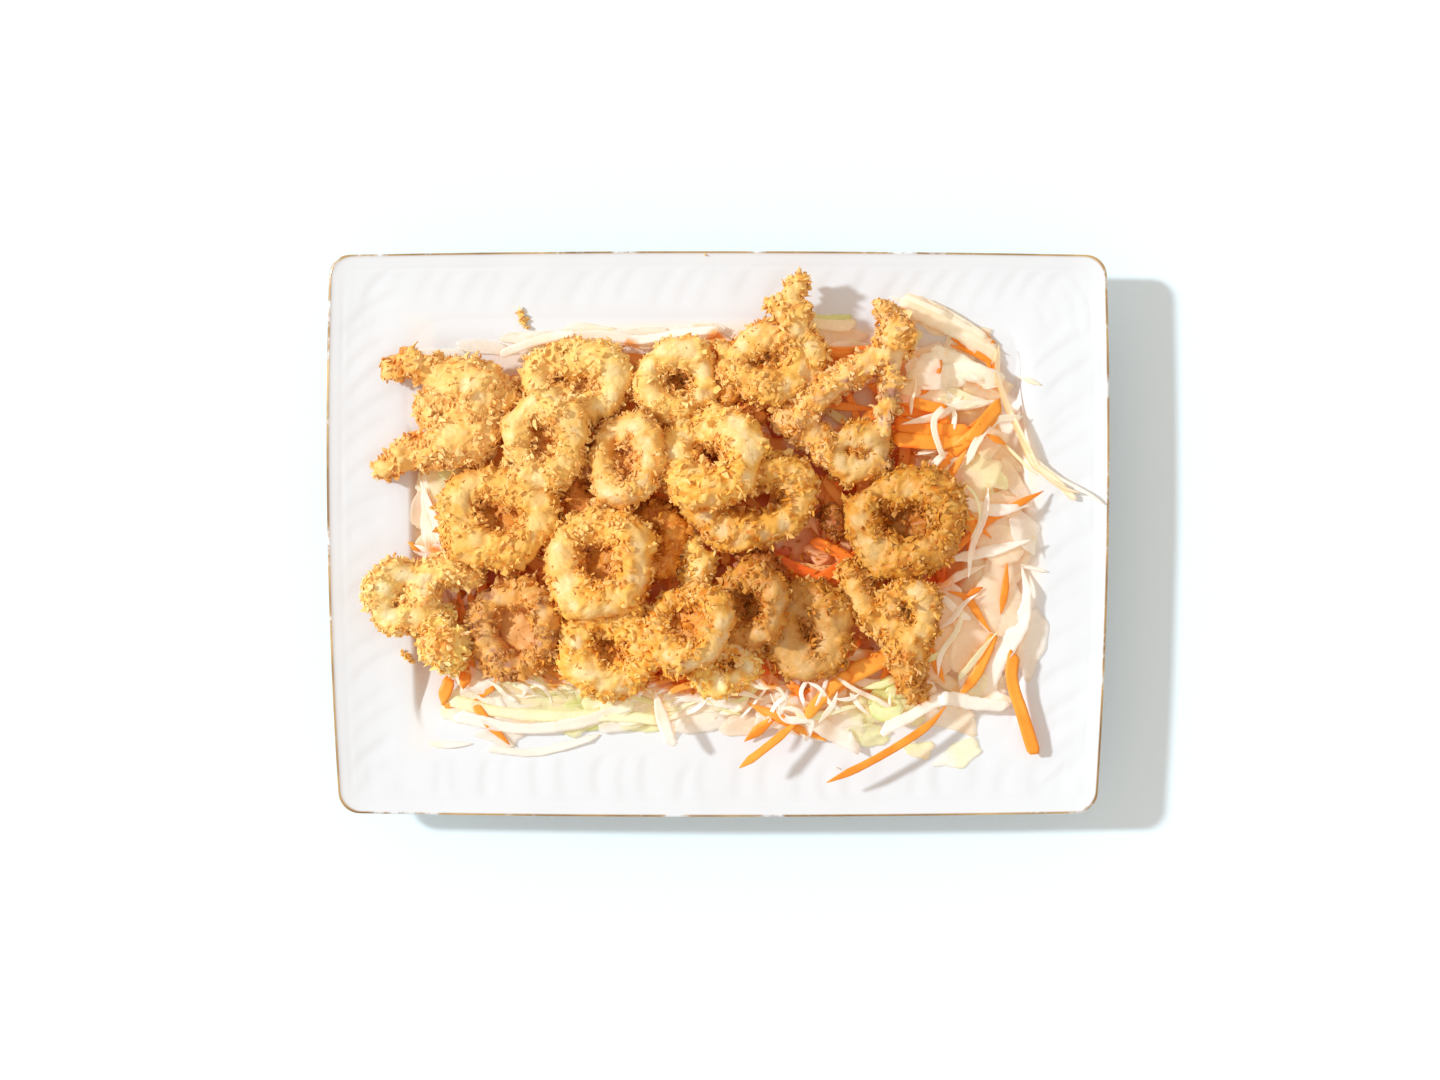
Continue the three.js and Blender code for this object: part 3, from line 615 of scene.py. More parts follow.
# <placed>
# Placed features, in mm: (x, y, reach) where a piece is smooth batter, where squid skin shows, where it is browner:
# partly toasting, and painted shade in the middle of the rings' holes.
BALD = {
    "ring_03": [(-89.5, 33.3, 3.8), (-88.6, 41.8, 4.2), (-85.2, 50.2, 4.2), (-79.3, 55.7, 3.8), (-71.7, 58.7, 3.8), (-65.8, 56.5, 3.4), (-60.8, 50.2, 3.0), (-59.5, 43.0, 3.0), (-75.1, 21.9, 3.4), (-81.4, 23.6, 3.0)],
    "ring_04": [(-39.2, 46.0, 3.8), (-35.0, 43.9, 4.2), (-31.6, 37.6, 4.2), (-30.4, 30.4, 4.2), (-31.6, 22.8, 3.8), (-35.9, 16.5, 3.4), (-42.2, 14.3, 3.4), (-47.3, 17.7, 3.0)],
    "ring_05": [(-28.7, 69.2, 4.2), (-26.6, 58.7, 4.2), (-11.8, 78.5, 4.2), (-5.5, 69.2, 4.2), (-7.6, 58.7, 4.2), (-22.4, 77.6, 3.4)],
    "ring_02": [(-45.6, 67.1, 5.1), (-43.5, 58.7, 4.2), (-49.8, 53.2, 3.4), (-73.0, 68.4, 3.4)],
    "ring_07": [(12.7, 39.7, 4.2), (14.3, 31.2, 3.8), (11.4, 22.8, 3.4), (7.2, 46.0, 3.4), (-18.1, 33.3, 3.0)],
    "ring_08": [(-5.1, 8.0, 3.4), (1.7, 1.3, 3.8), (10.1, -1.3, 3.8), (18.6, 0.0, 3.8), (27.0, 5.1, 3.8), (32.5, 12.2, 3.4), (30.4, 20.7, 3.4)],
    "ring_10": [(57.8, 5.9, 4.2), (58.7, 14.3, 3.8), (62.0, 20.7, 3.4), (59.1, -2.5, 3.8), (64.1, -8.9, 3.4), (78.9, 19.8, 3.0)],
    "ring_11": [(-108.0, 14.3, 4.2), (-104.7, 20.7, 3.8), (-101.3, 24.9, 3.4), (-75.1, 5.9, 3.8), (-76.0, 14.3, 3.4), (-100.4, -4.6, 3.4)],
    "ring_12": [(-64.6, -23.6, 4.2), (-60.3, -29.1, 4.2), (-54.0, -32.9, 4.2), (-69.6, -13.1, 4.2), (-69.6, -4.6, 3.8), (-30.8, -11.0, 3.8), (-31.6, -19.4, 3.8), (-32.9, -2.5, 3.8), (-45.6, -32.9, 3.4)],
    "ring_15": [(-54.0, -58.2, 3.8), (-47.7, -62.5, 4.2), (-39.2, -63.7, 4.2), (-30.8, -59.5, 3.8), (-60.3, -44.7, 3.4)],
    "ring_16": [(0.8, -36.3, 3.4), (1.7, -44.7, 3.8), (-3.4, -51.1, 3.8), (-11.8, -55.3, 3.8), (-20.3, -51.1, 3.0)],
    "ring_17": [(24.1, -23.6, 3.8), (25.3, -30.0, 3.8), (22.8, -37.1, 3.8), (17.7, -42.6, 3.0)],
    "ring_18": [(11.4, -55.3, 3.8), (7.2, -60.8, 3.8), (0.8, -63.7, 3.8), (13.5, -49.0, 3.4)],
    "ring_19": [(38.0, -43.0, 12.7), (30.4, -32.1, 5.1), (47.3, -49.0, 5.1), (34.6, -55.3, 5.1)],
    "ring_09": [(61.2, 33.3, 11.0)],
    "ring_01": [(-53.2, 19.4, 5.1)],
    "ring_14": [(-89.9, -27.9, 3.4), (-75.1, -32.1, 3.4)],
    "cluster_lower_left": [(-139.3, -23.6, 4.2), (-137.6, -32.9, 4.2), (-127.9, -34.2, 3.8), (-124.9, -23.6, 3.8), (-132.5, -17.3, 3.8)],
    "cluster_right": [(86.1, -30.0, 4.2), (87.4, -36.3, 4.2), (84.4, -41.4, 3.8), (83.1, -24.5, 3.8)],
    "cluster_top": [(14.3, 88.2, 4.2), (24.1, 89.5, 4.2), (33.3, 84.8, 4.2), (38.0, 76.8, 4.2), (36.7, 67.1, 4.2), (28.3, 61.6, 3.8), (9.3, 79.8, 3.8)],
    "cluster_left": [(-104.7, 62.9, 3.8), (-100.4, 56.5, 3.4), (-111.0, 43.9, 3.4)],
}
SKINNED = {
    "ring_14": [(-100.4, -38.4, 5.1), (-96.2, -27.9, 4.2), (-71.7, -44.7, 5.1), (-87.8, -56.5, 4.2), (-73.0, -27.9, 3.4), (-93.3, -51.1, 4.2)],
    "cluster_right": [(93.7, -38.4, 3.4), (92.4, -44.7, 3.4), (90.7, -27.9, 2.5)],
    "ring_08": [(-8.9, 5.9, 2.5), (-11.8, 14.3, 2.1)],
    "cluster_upper_right": [(71.7, 58.7, 3.8), (70.9, 48.1, 3.8), (72.6, 69.2, 3.0), (53.6, 62.9, 2.5)],
    "ring_16": [(7.2, -44.7, 2.5), (4.2, -51.1, 2.5)],
    "ring_17": [(19.8, -17.3, 2.5)],
    "ring_09": [(70.5, 29.1, 3.4)],
}
TOASTED_AND_HOLE_SHADE = {
    "cluster_left": [(-132.9, 70.1, 5.1), (-127.9, 65.0, 4.2), (-139.3, 30.4, 4.2), (-136.3, 24.9, 3.4), (-125.8, 39.7, 4.2), (-115.2, 27.0, 3.8)],
    "cluster_right": [(80.2, -51.1, 4.2), (83.1, -61.6, 5.1), (62.0, -23.6, 5.1), (59.1, -17.3, 4.2)],
    "cluster_top": [(24.1, 103.0, 3.4), (7.2, 58.7, 4.2), (19.8, 74.3, 5.5)],
    "cluster_upper_right": [(70.5, 90.3, 4.2), (34.6, 43.9, 3.8), (43.0, 56.5, 3.4)],
    "ring_14": [(-84.8, -46.8, 5.9), (-92.0, -40.5, 4.2)],
    "ring_11": [(-92.4, 7.2, 5.1)],
    "ring_12": [(-49.8, -12.2, 5.1)],
    "ring_10": [(78.5, 5.1, 5.9), (87.4, -4.6, 3.4)],
    "ring_08": [(13.5, 22.8, 5.9)],
    "ring_07": [(-3.0, 32.1, 3.8)],
    "ring_03": [(-72.6, 38.8, 3.8), (-66.7, 46.0, 3.4)],
    "ring_05": [(-17.3, 64.1, 3.8)],
    "ring_15": [(-45.2, -48.5, 4.2)],
    "nugget": [(-117.3, -44.7, 5.1)],
}
# Shreds laid in this order: kind, width, tint, middle line, and for some the height of each end.
STRANDS = [
    ("carrot", 3.4, 0, [(98.3, 82.7), (107.2, 77.6), (114.8, 72.6), (118.2, 65.8)]),
    ("carrot", 3.2, 0, [(74.7, 50.2), (89.5, 46.0), (104.2, 43.0)]),
    ("carrot", 3.0, 0, [(78.9, 43.0), (93.7, 39.7), (108.5, 44.7)]),
    ("carrot", 3.0, 0, [(83.1, 37.1), (95.8, 35.9)]),
    ("carrot", 2.8, 0, [(72.6, 39.7), (87.4, 41.4)]),
    ("carrot", 3.0, 0, [(118.2, 53.2), (108.5, 46.0), (100.0, 37.6), (95.8, 22.8), (103.0, 10.1), (114.8, -1.7)]),
    ("carrot", 3.0, 0, [(137.2, 18.1), (123.2, 11.0), (109.7, 2.5), (95.8, -11.0), (92.8, -14.3)]),
    ("carrot", 3.2, 0, [(121.5, -12.2), (120.7, -23.6), (119.0, -33.8)]),
    ("carrot", 3.4, 0, [(96.6, -24.1), (104.2, -26.6), (109.7, -34.2), (114.8, -41.4)]),
    ("carrot", 2.6, 0, [(104.2, -26.2), (108.5, -23.6), (111.4, -22.4)]),
    ("carrot", 4.2, 0, [(116.0, -42.2), (112.7, -51.1), (108.5, -59.5), (100.9, -69.2)]),
    ("carrot", 3.4, 0, [(95.8, -72.2), (89.5, -79.3), (81.4, -85.2), (64.1, -95.4), (45.6, -104.2)], (31.5, 34.0)),
    ("carrot", 5.4, 0, [(124.5, -49.8), (123.6, -60.8), (128.3, -76.4), (133.4, -92.8)], (28.6, 25.2)),
    ("carrot", 3.6, 0, [(91.6, -43.0), (89.5, -46.8), (92.0, -55.3), (95.4, -62.5)]),
    ("carrot", 3.8, 0, [(69.6, -51.9), (62.0, -57.4), (55.7, -61.6), (45.2, -67.9), (36.3, -73.4)]),
    ("carrot", 3.0, 0, [(12.7, -71.3), (28.3, -79.3), (46.0, -87.4)]),
    ("carrot", 3.6, 0, [(34.2, -78.1), (21.9, -88.2), (8.9, -97.9)], (31.0, 37.0)),
    ("carrot", 3.0, 0, [(23.6, -78.1), (17.7, -82.7), (11.0, -86.9)], (31.0, 36.0)),
    ("carrot", 4.0, 0, [(-103.4, -70.5), (-97.9, -78.5), (-87.8, -89.0)]),
    ("carrot", 5.2, 0, [(-113.1, -60.8), (-114.8, -65.8), (-117.3, -70.5)]),
    ("carrot", 5.0, 0, [(-108.5, -52.3), (-107.2, -58.2), (-105.9, -64.1)]),
    ("carrot", 2.4, 0, [(-100.4, -68.4), (-94.1, -64.6)]),
    ("carrot", 3.4, 0, [(-109.7, -24.5), (-107.6, -34.2), (-104.7, -44.7)]),
    ("carrot", 3.0, 0, [(-105.5, -23.6), (-102.5, -32.9)]),
    ("carrot", 3.0, 0, [(-124.5, 19.8), (-122.4, 14.3), (-119.4, 8.9)]),
    ("carrot", 2.2, 0, [(-118.6, -0.8), (-113.1, 1.7)]),
    ("carrot", 2.2, 0, [(-115.2, -5.1), (-111.0, -2.5)]),
    ("carrot", 2.0, 0, [(-130.0, -3.4), (-127.4, -7.2)]),
    ("carrot", 2.0, 0, [(-115.6, -72.6), (-110.6, -72.6)]),
    ("carrot", 3.2, 0, [(64.1, 77.6), (53.6, 74.7), (43.9, 71.3)]),
    ("carrot", 3.0, 0, [(111.4, 84.4), (115.2, 80.6)]),
    ("carrot", 3.0, 0, [(-23.2, 70.9), (-15.2, 65.4)]),
    ("carrot", 3.0, 0, [(-16.9, -60.8), (-10.1, -66.7)]),
    ("carrot", 3.0, 0, [(14.3, -52.3), (21.9, -58.2)]),
    ("carrot", 3.0, 0, [(28.7, -63.3), (37.1, -68.4)]),
    ("carrot", 3.2, 0, [(-32.9, -0.4), (-23.6, -7.6)]),
    ("carrot", 3.2, 0, [(-7.6, -11.0), (-11.8, -4.6)]),
    ("carrot", 3.2, 0, [(49.4, -55.3), (59.9, -44.7)]),
    ("cabbage", 3.0, 1, [(118.2, 79.8), (117.7, 67.1), (121.1, 56.5), (126.6, 43.9), (133.8, 29.1), (142.2, 22.8), (150.7, 14.3)], (26.6, 24.0)),
    ("cabbage", 2.0, 1, [(123.2, 51.5), (130.8, 36.7), (135.9, 27.0), (145.2, 19.4), (152.8, 17.3)]),
    ("cabbage", 1.6, 1, [(119.0, 39.7), (128.3, 30.4), (135.0, 24.5)]),
    ("cabbage", 1.3, 0, [(131.7, 33.3), (144.3, 23.6), (154.9, 17.7), (163.3, 12.2)]),
    ("cabbage", 3.2, 0, [(72.2, 100.4), (87.4, 94.5), (102.1, 86.1), (119.8, 76.4)]),
    ("cabbage", 3.0, 0, [(81.0, 101.3), (95.8, 93.7), (113.5, 83.1)]),
    ("cabbage", 9, 0, [(78.9, 71.3), (91.6, 67.1), (106.3, 68.4), (119.0, 62.9)]),
    ("cabbage", 8, 0, [(76.8, 59.9), (91.6, 58.7), (104.2, 54.4)]),
    ("cabbage", 7, 0, [(89.5, 76.8), (102.1, 72.6), (112.7, 65.0)]),
    ("cabbage", 4, 0, [(78.9, 67.1), (83.1, 62.9), (87.4, 61.6)]),
    ("cabbage", 4, 0, [(74.7, 46.0), (81.0, 48.1), (87.4, 49.0)]),
    ("cabbage", 4, 0, [(83.1, 33.3), (89.5, 35.4), (95.8, 36.7)]),
    ("cabbage", 5, 0, [(93.7, 24.9), (101.3, 30.4), (108.5, 35.4)]),
    ("cabbage", 4, 0, [(91.6, -23.6), (102.1, -17.3), (112.7, -13.1)]),
    ("cabbage", 5, 0, [(95.8, -11.0), (112.7, -7.6), (131.7, -2.5)]),
    ("cabbage", 5, 0, [(102.1, 14.3), (114.8, 10.1), (131.7, 12.2)]),
    ("cabbage", 4, 0, [(91.6, -23.6), (97.9, -30.0), (105.5, -36.3)]),
    ("cabbage", 7.5, 0, [(127.9, -13.1), (130.0, -23.6), (128.7, -35.0), (124.1, -43.9), (119.0, -51.1), (115.6, -59.5), (114.8, -67.1), (122.4, -72.6)]),
    ("cabbage", 5.5, 0, [(122.4, -72.6), (108.5, -71.3), (94.5, -69.2), (81.0, -76.4), (68.4, -82.3)], (25.8, 32.5)),
    ("cabbage", 8, 0, [(36.3, -75.5), (47.3, -82.7), (59.1, -88.6)]),
    ("cabbage", 3.5, 0, [(21.9, -67.1), (28.3, -77.6), (38.8, -78.5), (36.7, -86.9)]),
    ("cabbage", 5, 2, [(-113.1, -70.1), (-92.0, -75.1), (-66.7, -76.8), (-45.6, -76.4), (-24.5, -78.5)]),
    ("cabbage", 5, 0, [(-111.0, -76.4), (-83.6, -81.9), (-58.2, -79.3), (-37.1, -72.2)]),
    ("cabbage", 3, 0, [(-123.6, -88.2), (-113.1, -89.0), (-103.8, -88.6)]),
    ("cabbage", 3.4, 0, [(-98.3, -90.3), (-79.3, -92.4), (-66.7, -89.9), (-49.8, -84.8)]),
    ("cabbage", 6, 2, [(-49.8, -72.2), (-42.2, -75.1), (-36.3, -70.1)]),
    ("cabbage", 6, 0, [(-26.6, -65.8), (-23.6, -76.4), (-19.4, -89.0)], (29.5, 33.5)),
    ("cabbage", 5, 0, [(-16.0, -65.8), (-2.5, -70.1), (11.4, -72.2)]),
    ("cabbage", 4, 0, [(-83.6, 79.8), (-66.7, 82.7), (-49.8, 84.0), (-32.9, 81.9), (-16.0, 84.8), (0.8, 86.1)]),
    ("cabbage", 4, 0, [(-92.0, 75.5), (-75.1, 81.9), (-60.3, 84.4)]),
    ("cabbage", 5, 2, [(32.5, 91.2), (45.2, 88.2), (57.8, 87.8)]),
    ("cabbage", 3, 0, [(-125.8, 23.6), (-122.4, 14.3), (-118.6, 3.8), (-117.3, -4.6)]),
    ("cabbage", 3, 0, [(-127.9, -4.6), (-120.7, -7.6), (-111.0, -9.3)]),
    ("cabbage", 5, 3, [(-111.0, 26.2), (-104.7, 24.9), (-98.3, 22.8)]),
    ("cabbage", 5, 3, [(-73.0, -55.3), (-66.7, -57.8), (-59.9, -56.5)]),
    ("cabbage", 5, 3, [(-54.9, -65.8), (-49.0, -67.5)]),
    ("cabbage", 6, 3, [(70.5, -66.7), (81.9, -65.8)]),
    ("cabbage", 6, 3, [(63.3, -72.2), (70.5, -76.0), (77.6, -74.3)]),
    ("cabbage", 1.6, 2, [(-112.3, -32.1), (-114.4, -37.1), (-111.8, -40.9), (-106.8, -41.8), (-101.3, -40.1)], (35.0, 37.0)),
    ("cabbage", 4, 0, [(35.9, -5.9), (40.9, -6.8), (47.3, -10.1)]),
    ("cabbage", 5, 4, [(43.0, 24.9), (48.1, 18.6), (53.6, 12.2)]),
    ("cabbage", 4, 0, [(-109.7, -9.3), (-99.6, -11.8)]),
    ("cabbage", 1.6, 0, [(127.4, -13.1), (139.3, -16.0)]),
    ("carrot", 7.5, 0, [(73.8, -49.8), (64.1, -54.9), (53.6, -59.9)]),
    ("carrot", 5, 0, [(54.9, -58.2), (45.6, -66.7), (36.7, -76.4)]),
    ("carrot", 4, 0, [(13.5, -71.3), (28.3, -78.5), (34.6, -84.8)]),
    ("carrot", 3, 0, [(21.9, -77.2), (11.4, -86.9)]),
    ("carrot", 4, 0, [(30.4, -61.6), (36.7, -70.1)]),
    ("carrot", 5, 0, [(73.8, 52.8), (87.4, 50.6), (97.9, 48.1)]),
    ("carrot", 6, 0, [(74.3, 46.4), (89.5, 43.9), (107.2, 43.0)]),
    ("carrot", 6.5, 0, [(73.8, 39.7), (91.6, 38.4), (112.7, 40.9)]),
    ("carrot", 5.5, 0, [(87.4, 24.9), (100.0, 35.4), (109.7, 43.9)]),
    ("carrot", 5.5, 0, [(105.5, 38.8), (112.7, 48.1), (119.0, 54.9)]),
    ("carrot", 4.5, 0, [(95.8, 24.9), (102.1, 10.1), (108.5, -0.4)]),
    ("carrot", 4.5, 0, [(83.1, 58.7), (90.3, 65.0), (92.4, 72.6)]),
    ("carrot", 3.4, 0, [(119.4, 54.4), (115.6, 48.1), (110.6, 41.4)]),
    ("carrot", 3, 0, [(112.7, 41.8), (121.1, 37.6)]),
    ("carrot", 3.2, 0, [(95.8, 21.9), (104.2, 35.4)]),
    ("carrot", 3.4, 0, [(97.9, 79.8), (112.7, 74.3), (115.6, 66.7)]),
    ("carrot", 5, 0, [(21.9, -9.3), (38.8, -16.9), (56.5, -21.1)]),
    ("carrot", 5, 0, [(62.5, -5.9), (49.4, -15.2), (33.8, -24.5)]),
    ("carrot", 6, 0, [(70.1, -9.3), (62.5, -16.9), (55.7, -27.9)]),
    ("carrot", 4, 0, [(10.1, -16.0), (24.1, -27.9)]),
    ("carrot", 4.5, 0, [(39.7, -2.5), (55.7, -11.0), (68.4, -23.6)]),
    ("carrot", 4, 0, [(43.0, 79.3), (53.6, 76.8), (65.0, 78.9)]),
    ("carrot", 4, 0, [(42.2, 76.8), (55.7, 75.1), (68.4, 79.8)]),
    ("cabbage", 9, 0, [(76.8, 98.7), (97.9, 88.2), (117.7, 75.1)]),
    ("cabbage", 3, 0, [(78.9, 100.0), (95.8, 92.4), (111.4, 83.6)]),
    ("cabbage", 4, 0, [(76.8, 46.0), (93.7, 50.2), (98.7, 53.6), (108.5, 54.4), (119.0, 56.5)]),
    ("cabbage", 2.4, 0, [(126.6, 66.7), (131.7, 64.6), (136.7, 62.9)]),
    ("carrot", 4.5, 0, [(73.8, 57.4), (83.1, 54.9), (94.5, 52.3)]),
]
# Broad leaves laid before them: x, y, half-length, half-width, turn, tint.
LEAVES = [(119.0, 35.4, 11.8, 4.6, -50, 5), (124.1, 23.6, 11.0, 4.2, -60, 0), (108.5, 14.3, 10.1, 14.3, -8, 2), (121.1, 5.9, 11.8, 5.5, -40, 0), (107.2, -44.7, 12.7, 18.6, -6, 5), (119.8, -17.3, 10.1, 14.3, 0, 5), (123.2, -44.7, 7.6, 16.9, 0, 0), (93.7, -49.0, 8.4, 12.7, 0, 5), (-32.9, -77.6, 14.3, 6.8, -6, 2), (-54.0, -75.1, 14.3, 7.6, 0, 3), (-73.0, -70.1, 15.2, 7.6, -2, 2), (-92.0, -72.6, 12.7, 6.8, -4, 0), (-66.7, -65.8, 11.0, 5.1, 0, 3), (-98.3, 78.9, 14.3, 3.4, -6, 0), (-79.3, 82.7, 15.2, 3.4, -2, 0), (-54.0, 84.4, 15.2, 5.1, 0, 0), (-28.7, 82.7, 14.3, 5.5, 0, 5), (-5.5, 81.9, 12.7, 5.9, 0, 0), (-11.8, 76.8, 8.4, 4.2, 0, 5), (15.6, 82.7, 10.1, 5.1, 0, 5), (-115.2, 75.5, 10.1, 3.4, -8, 0), (-7.6, -75.1, 11.0, 5.9, 6, 2), (-104.7, -70.1, 11.0, 7.6, 0, 5), (32.5, -79.3, 11.8, 5.9, -10, 0), (59.9, -75.1, 12.7, 6.8, 0, 2), (-104.7, -61.6, 7.6, 5.1, 0, 5), (-123.6, 12.2, 6.8, 12.7, -4, 5), (-120.7, -4.6, 5.9, 9.3, 0, 0), (-122.4, 22.8, 5.1, 7.6, 0, 0), (-115.2, 5.9, 6.8, 10.1, 10, 5), (105.9, -46.0, 10.1, 19.4, -8, 5), (119.0, -27.9, 11.0, 16.9, 12, 5), (131.7, -44.7, 5.5, 16.9, -6, 0), (119.0, -4.6, 12.7, 8.4, -20, 5), (128.3, 2.5, 11.0, 5.1, -65, 0), (95.8, -27.9, 8.4, 11.0, 0, 5), (112.7, -65.8, 11.0, 8.4, -10, 0), (97.9, -76.4, 12.7, 6.8, -15, 5), (102.1, -93.3, 11.8, 5.9, 20, 0), (84.4, -91.2, 6.8, 3.8, -10, 2), (89.5, 91.2, 13.5, 5.1, -25, 0), (104.2, 79.8, 11.0, 7.6, 30, 0), (87.4, 71.3, 9.3, 7.6, 0, 5), (97.9, 62.9, 11.8, 8.4, 0, 0), (112.7, 62.9, 10.1, 7.6, -10, 5), (83.1, 56.5, 7.6, 5.9, 0, 0), (78.9, 85.2, 9.3, 5.1, -25, 2), (112.7, 27.0, 11.8, 5.9, -35, 2), (108.5, 22.8, 10.1, 12.7, 0, 5), (119.0, 12.2, 10.1, 5.1, -20, 5), (112.7, 39.7, 10.1, 6.8, 0, 5), (93.7, 27.0, 8.4, 5.9, 0, 5), (49.4, -80.2, 15.2, 8.4, 8, 0), (33.3, -72.2, 5.9, 4.2, 0, 0), (43.0, -68.8, 6.8, 4.2, 0, 0), (46.4, -61.6, 11.0, 8.4, -15, 5), (71.7, -68.8, 9.3, 8.4, 0, 3), (78.9, -75.1, 10.1, 5.1, -15, 2), (64.1, -84.8, 10.1, 5.1, -10, 2), (45.2, 89.9, 12.7, 3.4, 6, 3), (49.4, 84.4, 11.0, 5.9, 0, 5), (55.7, 76.8, 10.1, 5.9, 0, 0), (-24.5, -70.1, 9.3, 10.1, 0, 2), (-19.4, -75.1, 5.9, 11.0, -5, 0), (-41.4, -76.8, 15.2, 7.6, 8, 0), (-62.5, -77.6, 12.7, 6.8, 0, 2), (-75.1, -65.8, 14.3, 8.4, 0, 2), (-83.6, -76.4, 12.7, 5.9, 0, 0), (-49.8, -65.8, 12.7, 6.8, 0, 2), (-100.4, -70.1, 10.1, 7.6, 0, 0), (-92.0, -84.8, 10.1, 4.2, -6, 0), (-111.0, -75.1, 7.6, 5.1, 0, 2), (-121.5, 8.0, 5.1, 15.2, 0, 0), (-116.5, 22.8, 5.9, 11.0, 10, 2), (-119.0, -11.0, 5.9, 8.4, -10, 0), (-111.0, 27.0, 7.6, 5.1, 0, 3), (43.0, -8.0, 5.5, 5.5, 0, 0), (-7.6, -78.5, 11.0, 5.9, -10, 0), (9.3, -81.0, 10.1, 5.1, 0, 0), (21.9, -76.4, 8.4, 5.9, 0, 0), (-66.7, 80.2, 16.9, 3.8, 0, 0), (-32.9, 82.7, 16.9, 3.4, 0, 0), (-5.5, 86.1, 9.3, 3.4, 0, 0)]
# Thin leaves laid over them.
OVER = [(93.7, 68.4, 14.3, 7.2, -10, 0), (78.1, 59.9, 6.8, 4.2, 0, 5), (102.1, 56.5, 9.3, 3.4, -8, 0)]
LOOSE_CRUMBS = [(-82.3, 90.3, 3.8), (-83.6, 93.7, 2.5), (-80.6, 87.8, 2.1), (-130.8, -51.9, 3.4), (-132.9, -50.2, 2.1), (-128.7, -53.6, 1.7), (-5.5, 117.7, 0.8), (50.6, -98.7, 0.8)]
# </placed>

PEAK, MID, DEEP = (0.94, 0.53, 0.10), (0.92, 0.38, 0.033), (0.84, 0.24, 0.01)
CREAM, GOLDEN, PALE = (0.95, 0.62, 0.24), (0.94, 0.49, 0.085), (0.95, 0.71, 0.40)
BROWN, SKIN, PEACH = (0.60, 0.19, 0.015), (0.42, 0.20, 0.13), (0.94, 0.53, 0.20)
INSET = 0.9                                  # the batter lies this far inside the crumbs
# how far the batter inside a ring closes its hole, low down
SHELF = {"ring_08": 0.14, "ring_12": 0.17, "ring_07": 0.35, "ring_10": 0.19, "ring_19": 0.5, "ring_18": 0.11, "ring_02": 0.17, "ring_05": 0.16,
         "ring_03": 0.19, "ring_04": 0.21, "ring_16": 0.4, "ring_15": 0.18, "ring_11": 0.17, "ring_14": 0.22, "ring_17": 0.17, "ring_09": 0.19}


# how deep the crumbs in a ring's hole lie, in half-heights; none where the hole is open right through
FLOOR = {"ring_16": 0.15, "ring_03": 0.60, "ring_04": 0.85, "ring_12": 0.90, "ring_11": 0.85, "ring_10": 1.0, "ring_15": 0.75, "ring_17": 0.8,
         "ring_19": 0.3, "ring_02": 0.7, "ring_18": 0.6, "ring_14": 0.45, "ring_05": 1.3}
OPEN = ("ring_07", "ring_08")
# how brown each piece is painted, partly from its frying and partly painted shade on pieces that lie low or in others'
# shade: 0 blond, 1 deep golden brown
DONE_AND_SHADE = {"ring_21": 0.9, "ring_01": 0.9, "ring_11": 0.35, "cluster_top": 0.2, "ring_08": 0.45, "ring_10": 0.8, "ring_09": 0.5, "cluster_lower_left": -0.3,
        "ring_14": 0.8, "ring_15": 0.1, "ring_19": 1.0, "cluster_right": 0.45, "ring_17": 0.95, "ring_16": 0.35, "ring_03": 0.15, "ring_04": 0.2,
        "ring_12": 0.2, "cluster_upper_right": -0.2, "nugget": -0.5, "ring_18": -0.25, "strip_1": -0.1, "strip_2": 1.0, "strip_3": 0.5, "strip_4": 1.3}
# colour factors per piece: partly each piece's own tone, partly painted shade on pieces that lie low or in others'
# shade
TINT = {"ring_01": (0.86, 0.61, 0.33), "ring_21": (1.07, 0.90, 0.56), "ring_11": (1.04, 1.01, 0.85), "ring_10": (0.93, 0.94, 0.81), "ring_09": (0.92, 0.94, 0.94),
        "cluster_lower_left": (1.04, 0.93, 1.01), "ring_14": (1.05, 1.05, 1.10), "ring_19": (0.91, 0.91, 0.81), "ring_17": (0.91, 0.90, 0.81),
        "cluster_upper_right": (0.90, 0.87, 1.12), "nugget": (1.02, 0.93, 1.05), "strip_1": (0.98, 1.08, 1.4), "strip_2": (0.71, 0.51, 0.46),
        "strip_3": (0.98, 0.71, 0.55), "strip_4": (0.65, 0.48, 0.31), "ring_18": (1.02, 1.05, 1.3), "ring_08": (1.0, 1.04, 1.08), "ring_15": (1.0, 1.03, 1.05),
        "ring_16": (0.99, 1.02, 1.07), "ring_04": (0.98, 0.96, 1.02), "cluster_left": (1.02, 0.97, 1.0), "cluster_right": (0.98, 0.99, 0.98)}


def phase(name):
    s = 7
    for c in name:
        s = (s * 31 + ord(c)) % 628
    return s / 100


def near(p, spots):
    """How far each point is inside any of the spots (x, y, reach), 1 at a spot's middle."""
    out = np.zeros(len(p))
    for x, y, r in spots:
        out = np.maximum(out, np.exp(-((p[:, 0] - x) ** 2 + (p[:, 1] - y) ** 2) / (r * r) * 0.9))
    return out


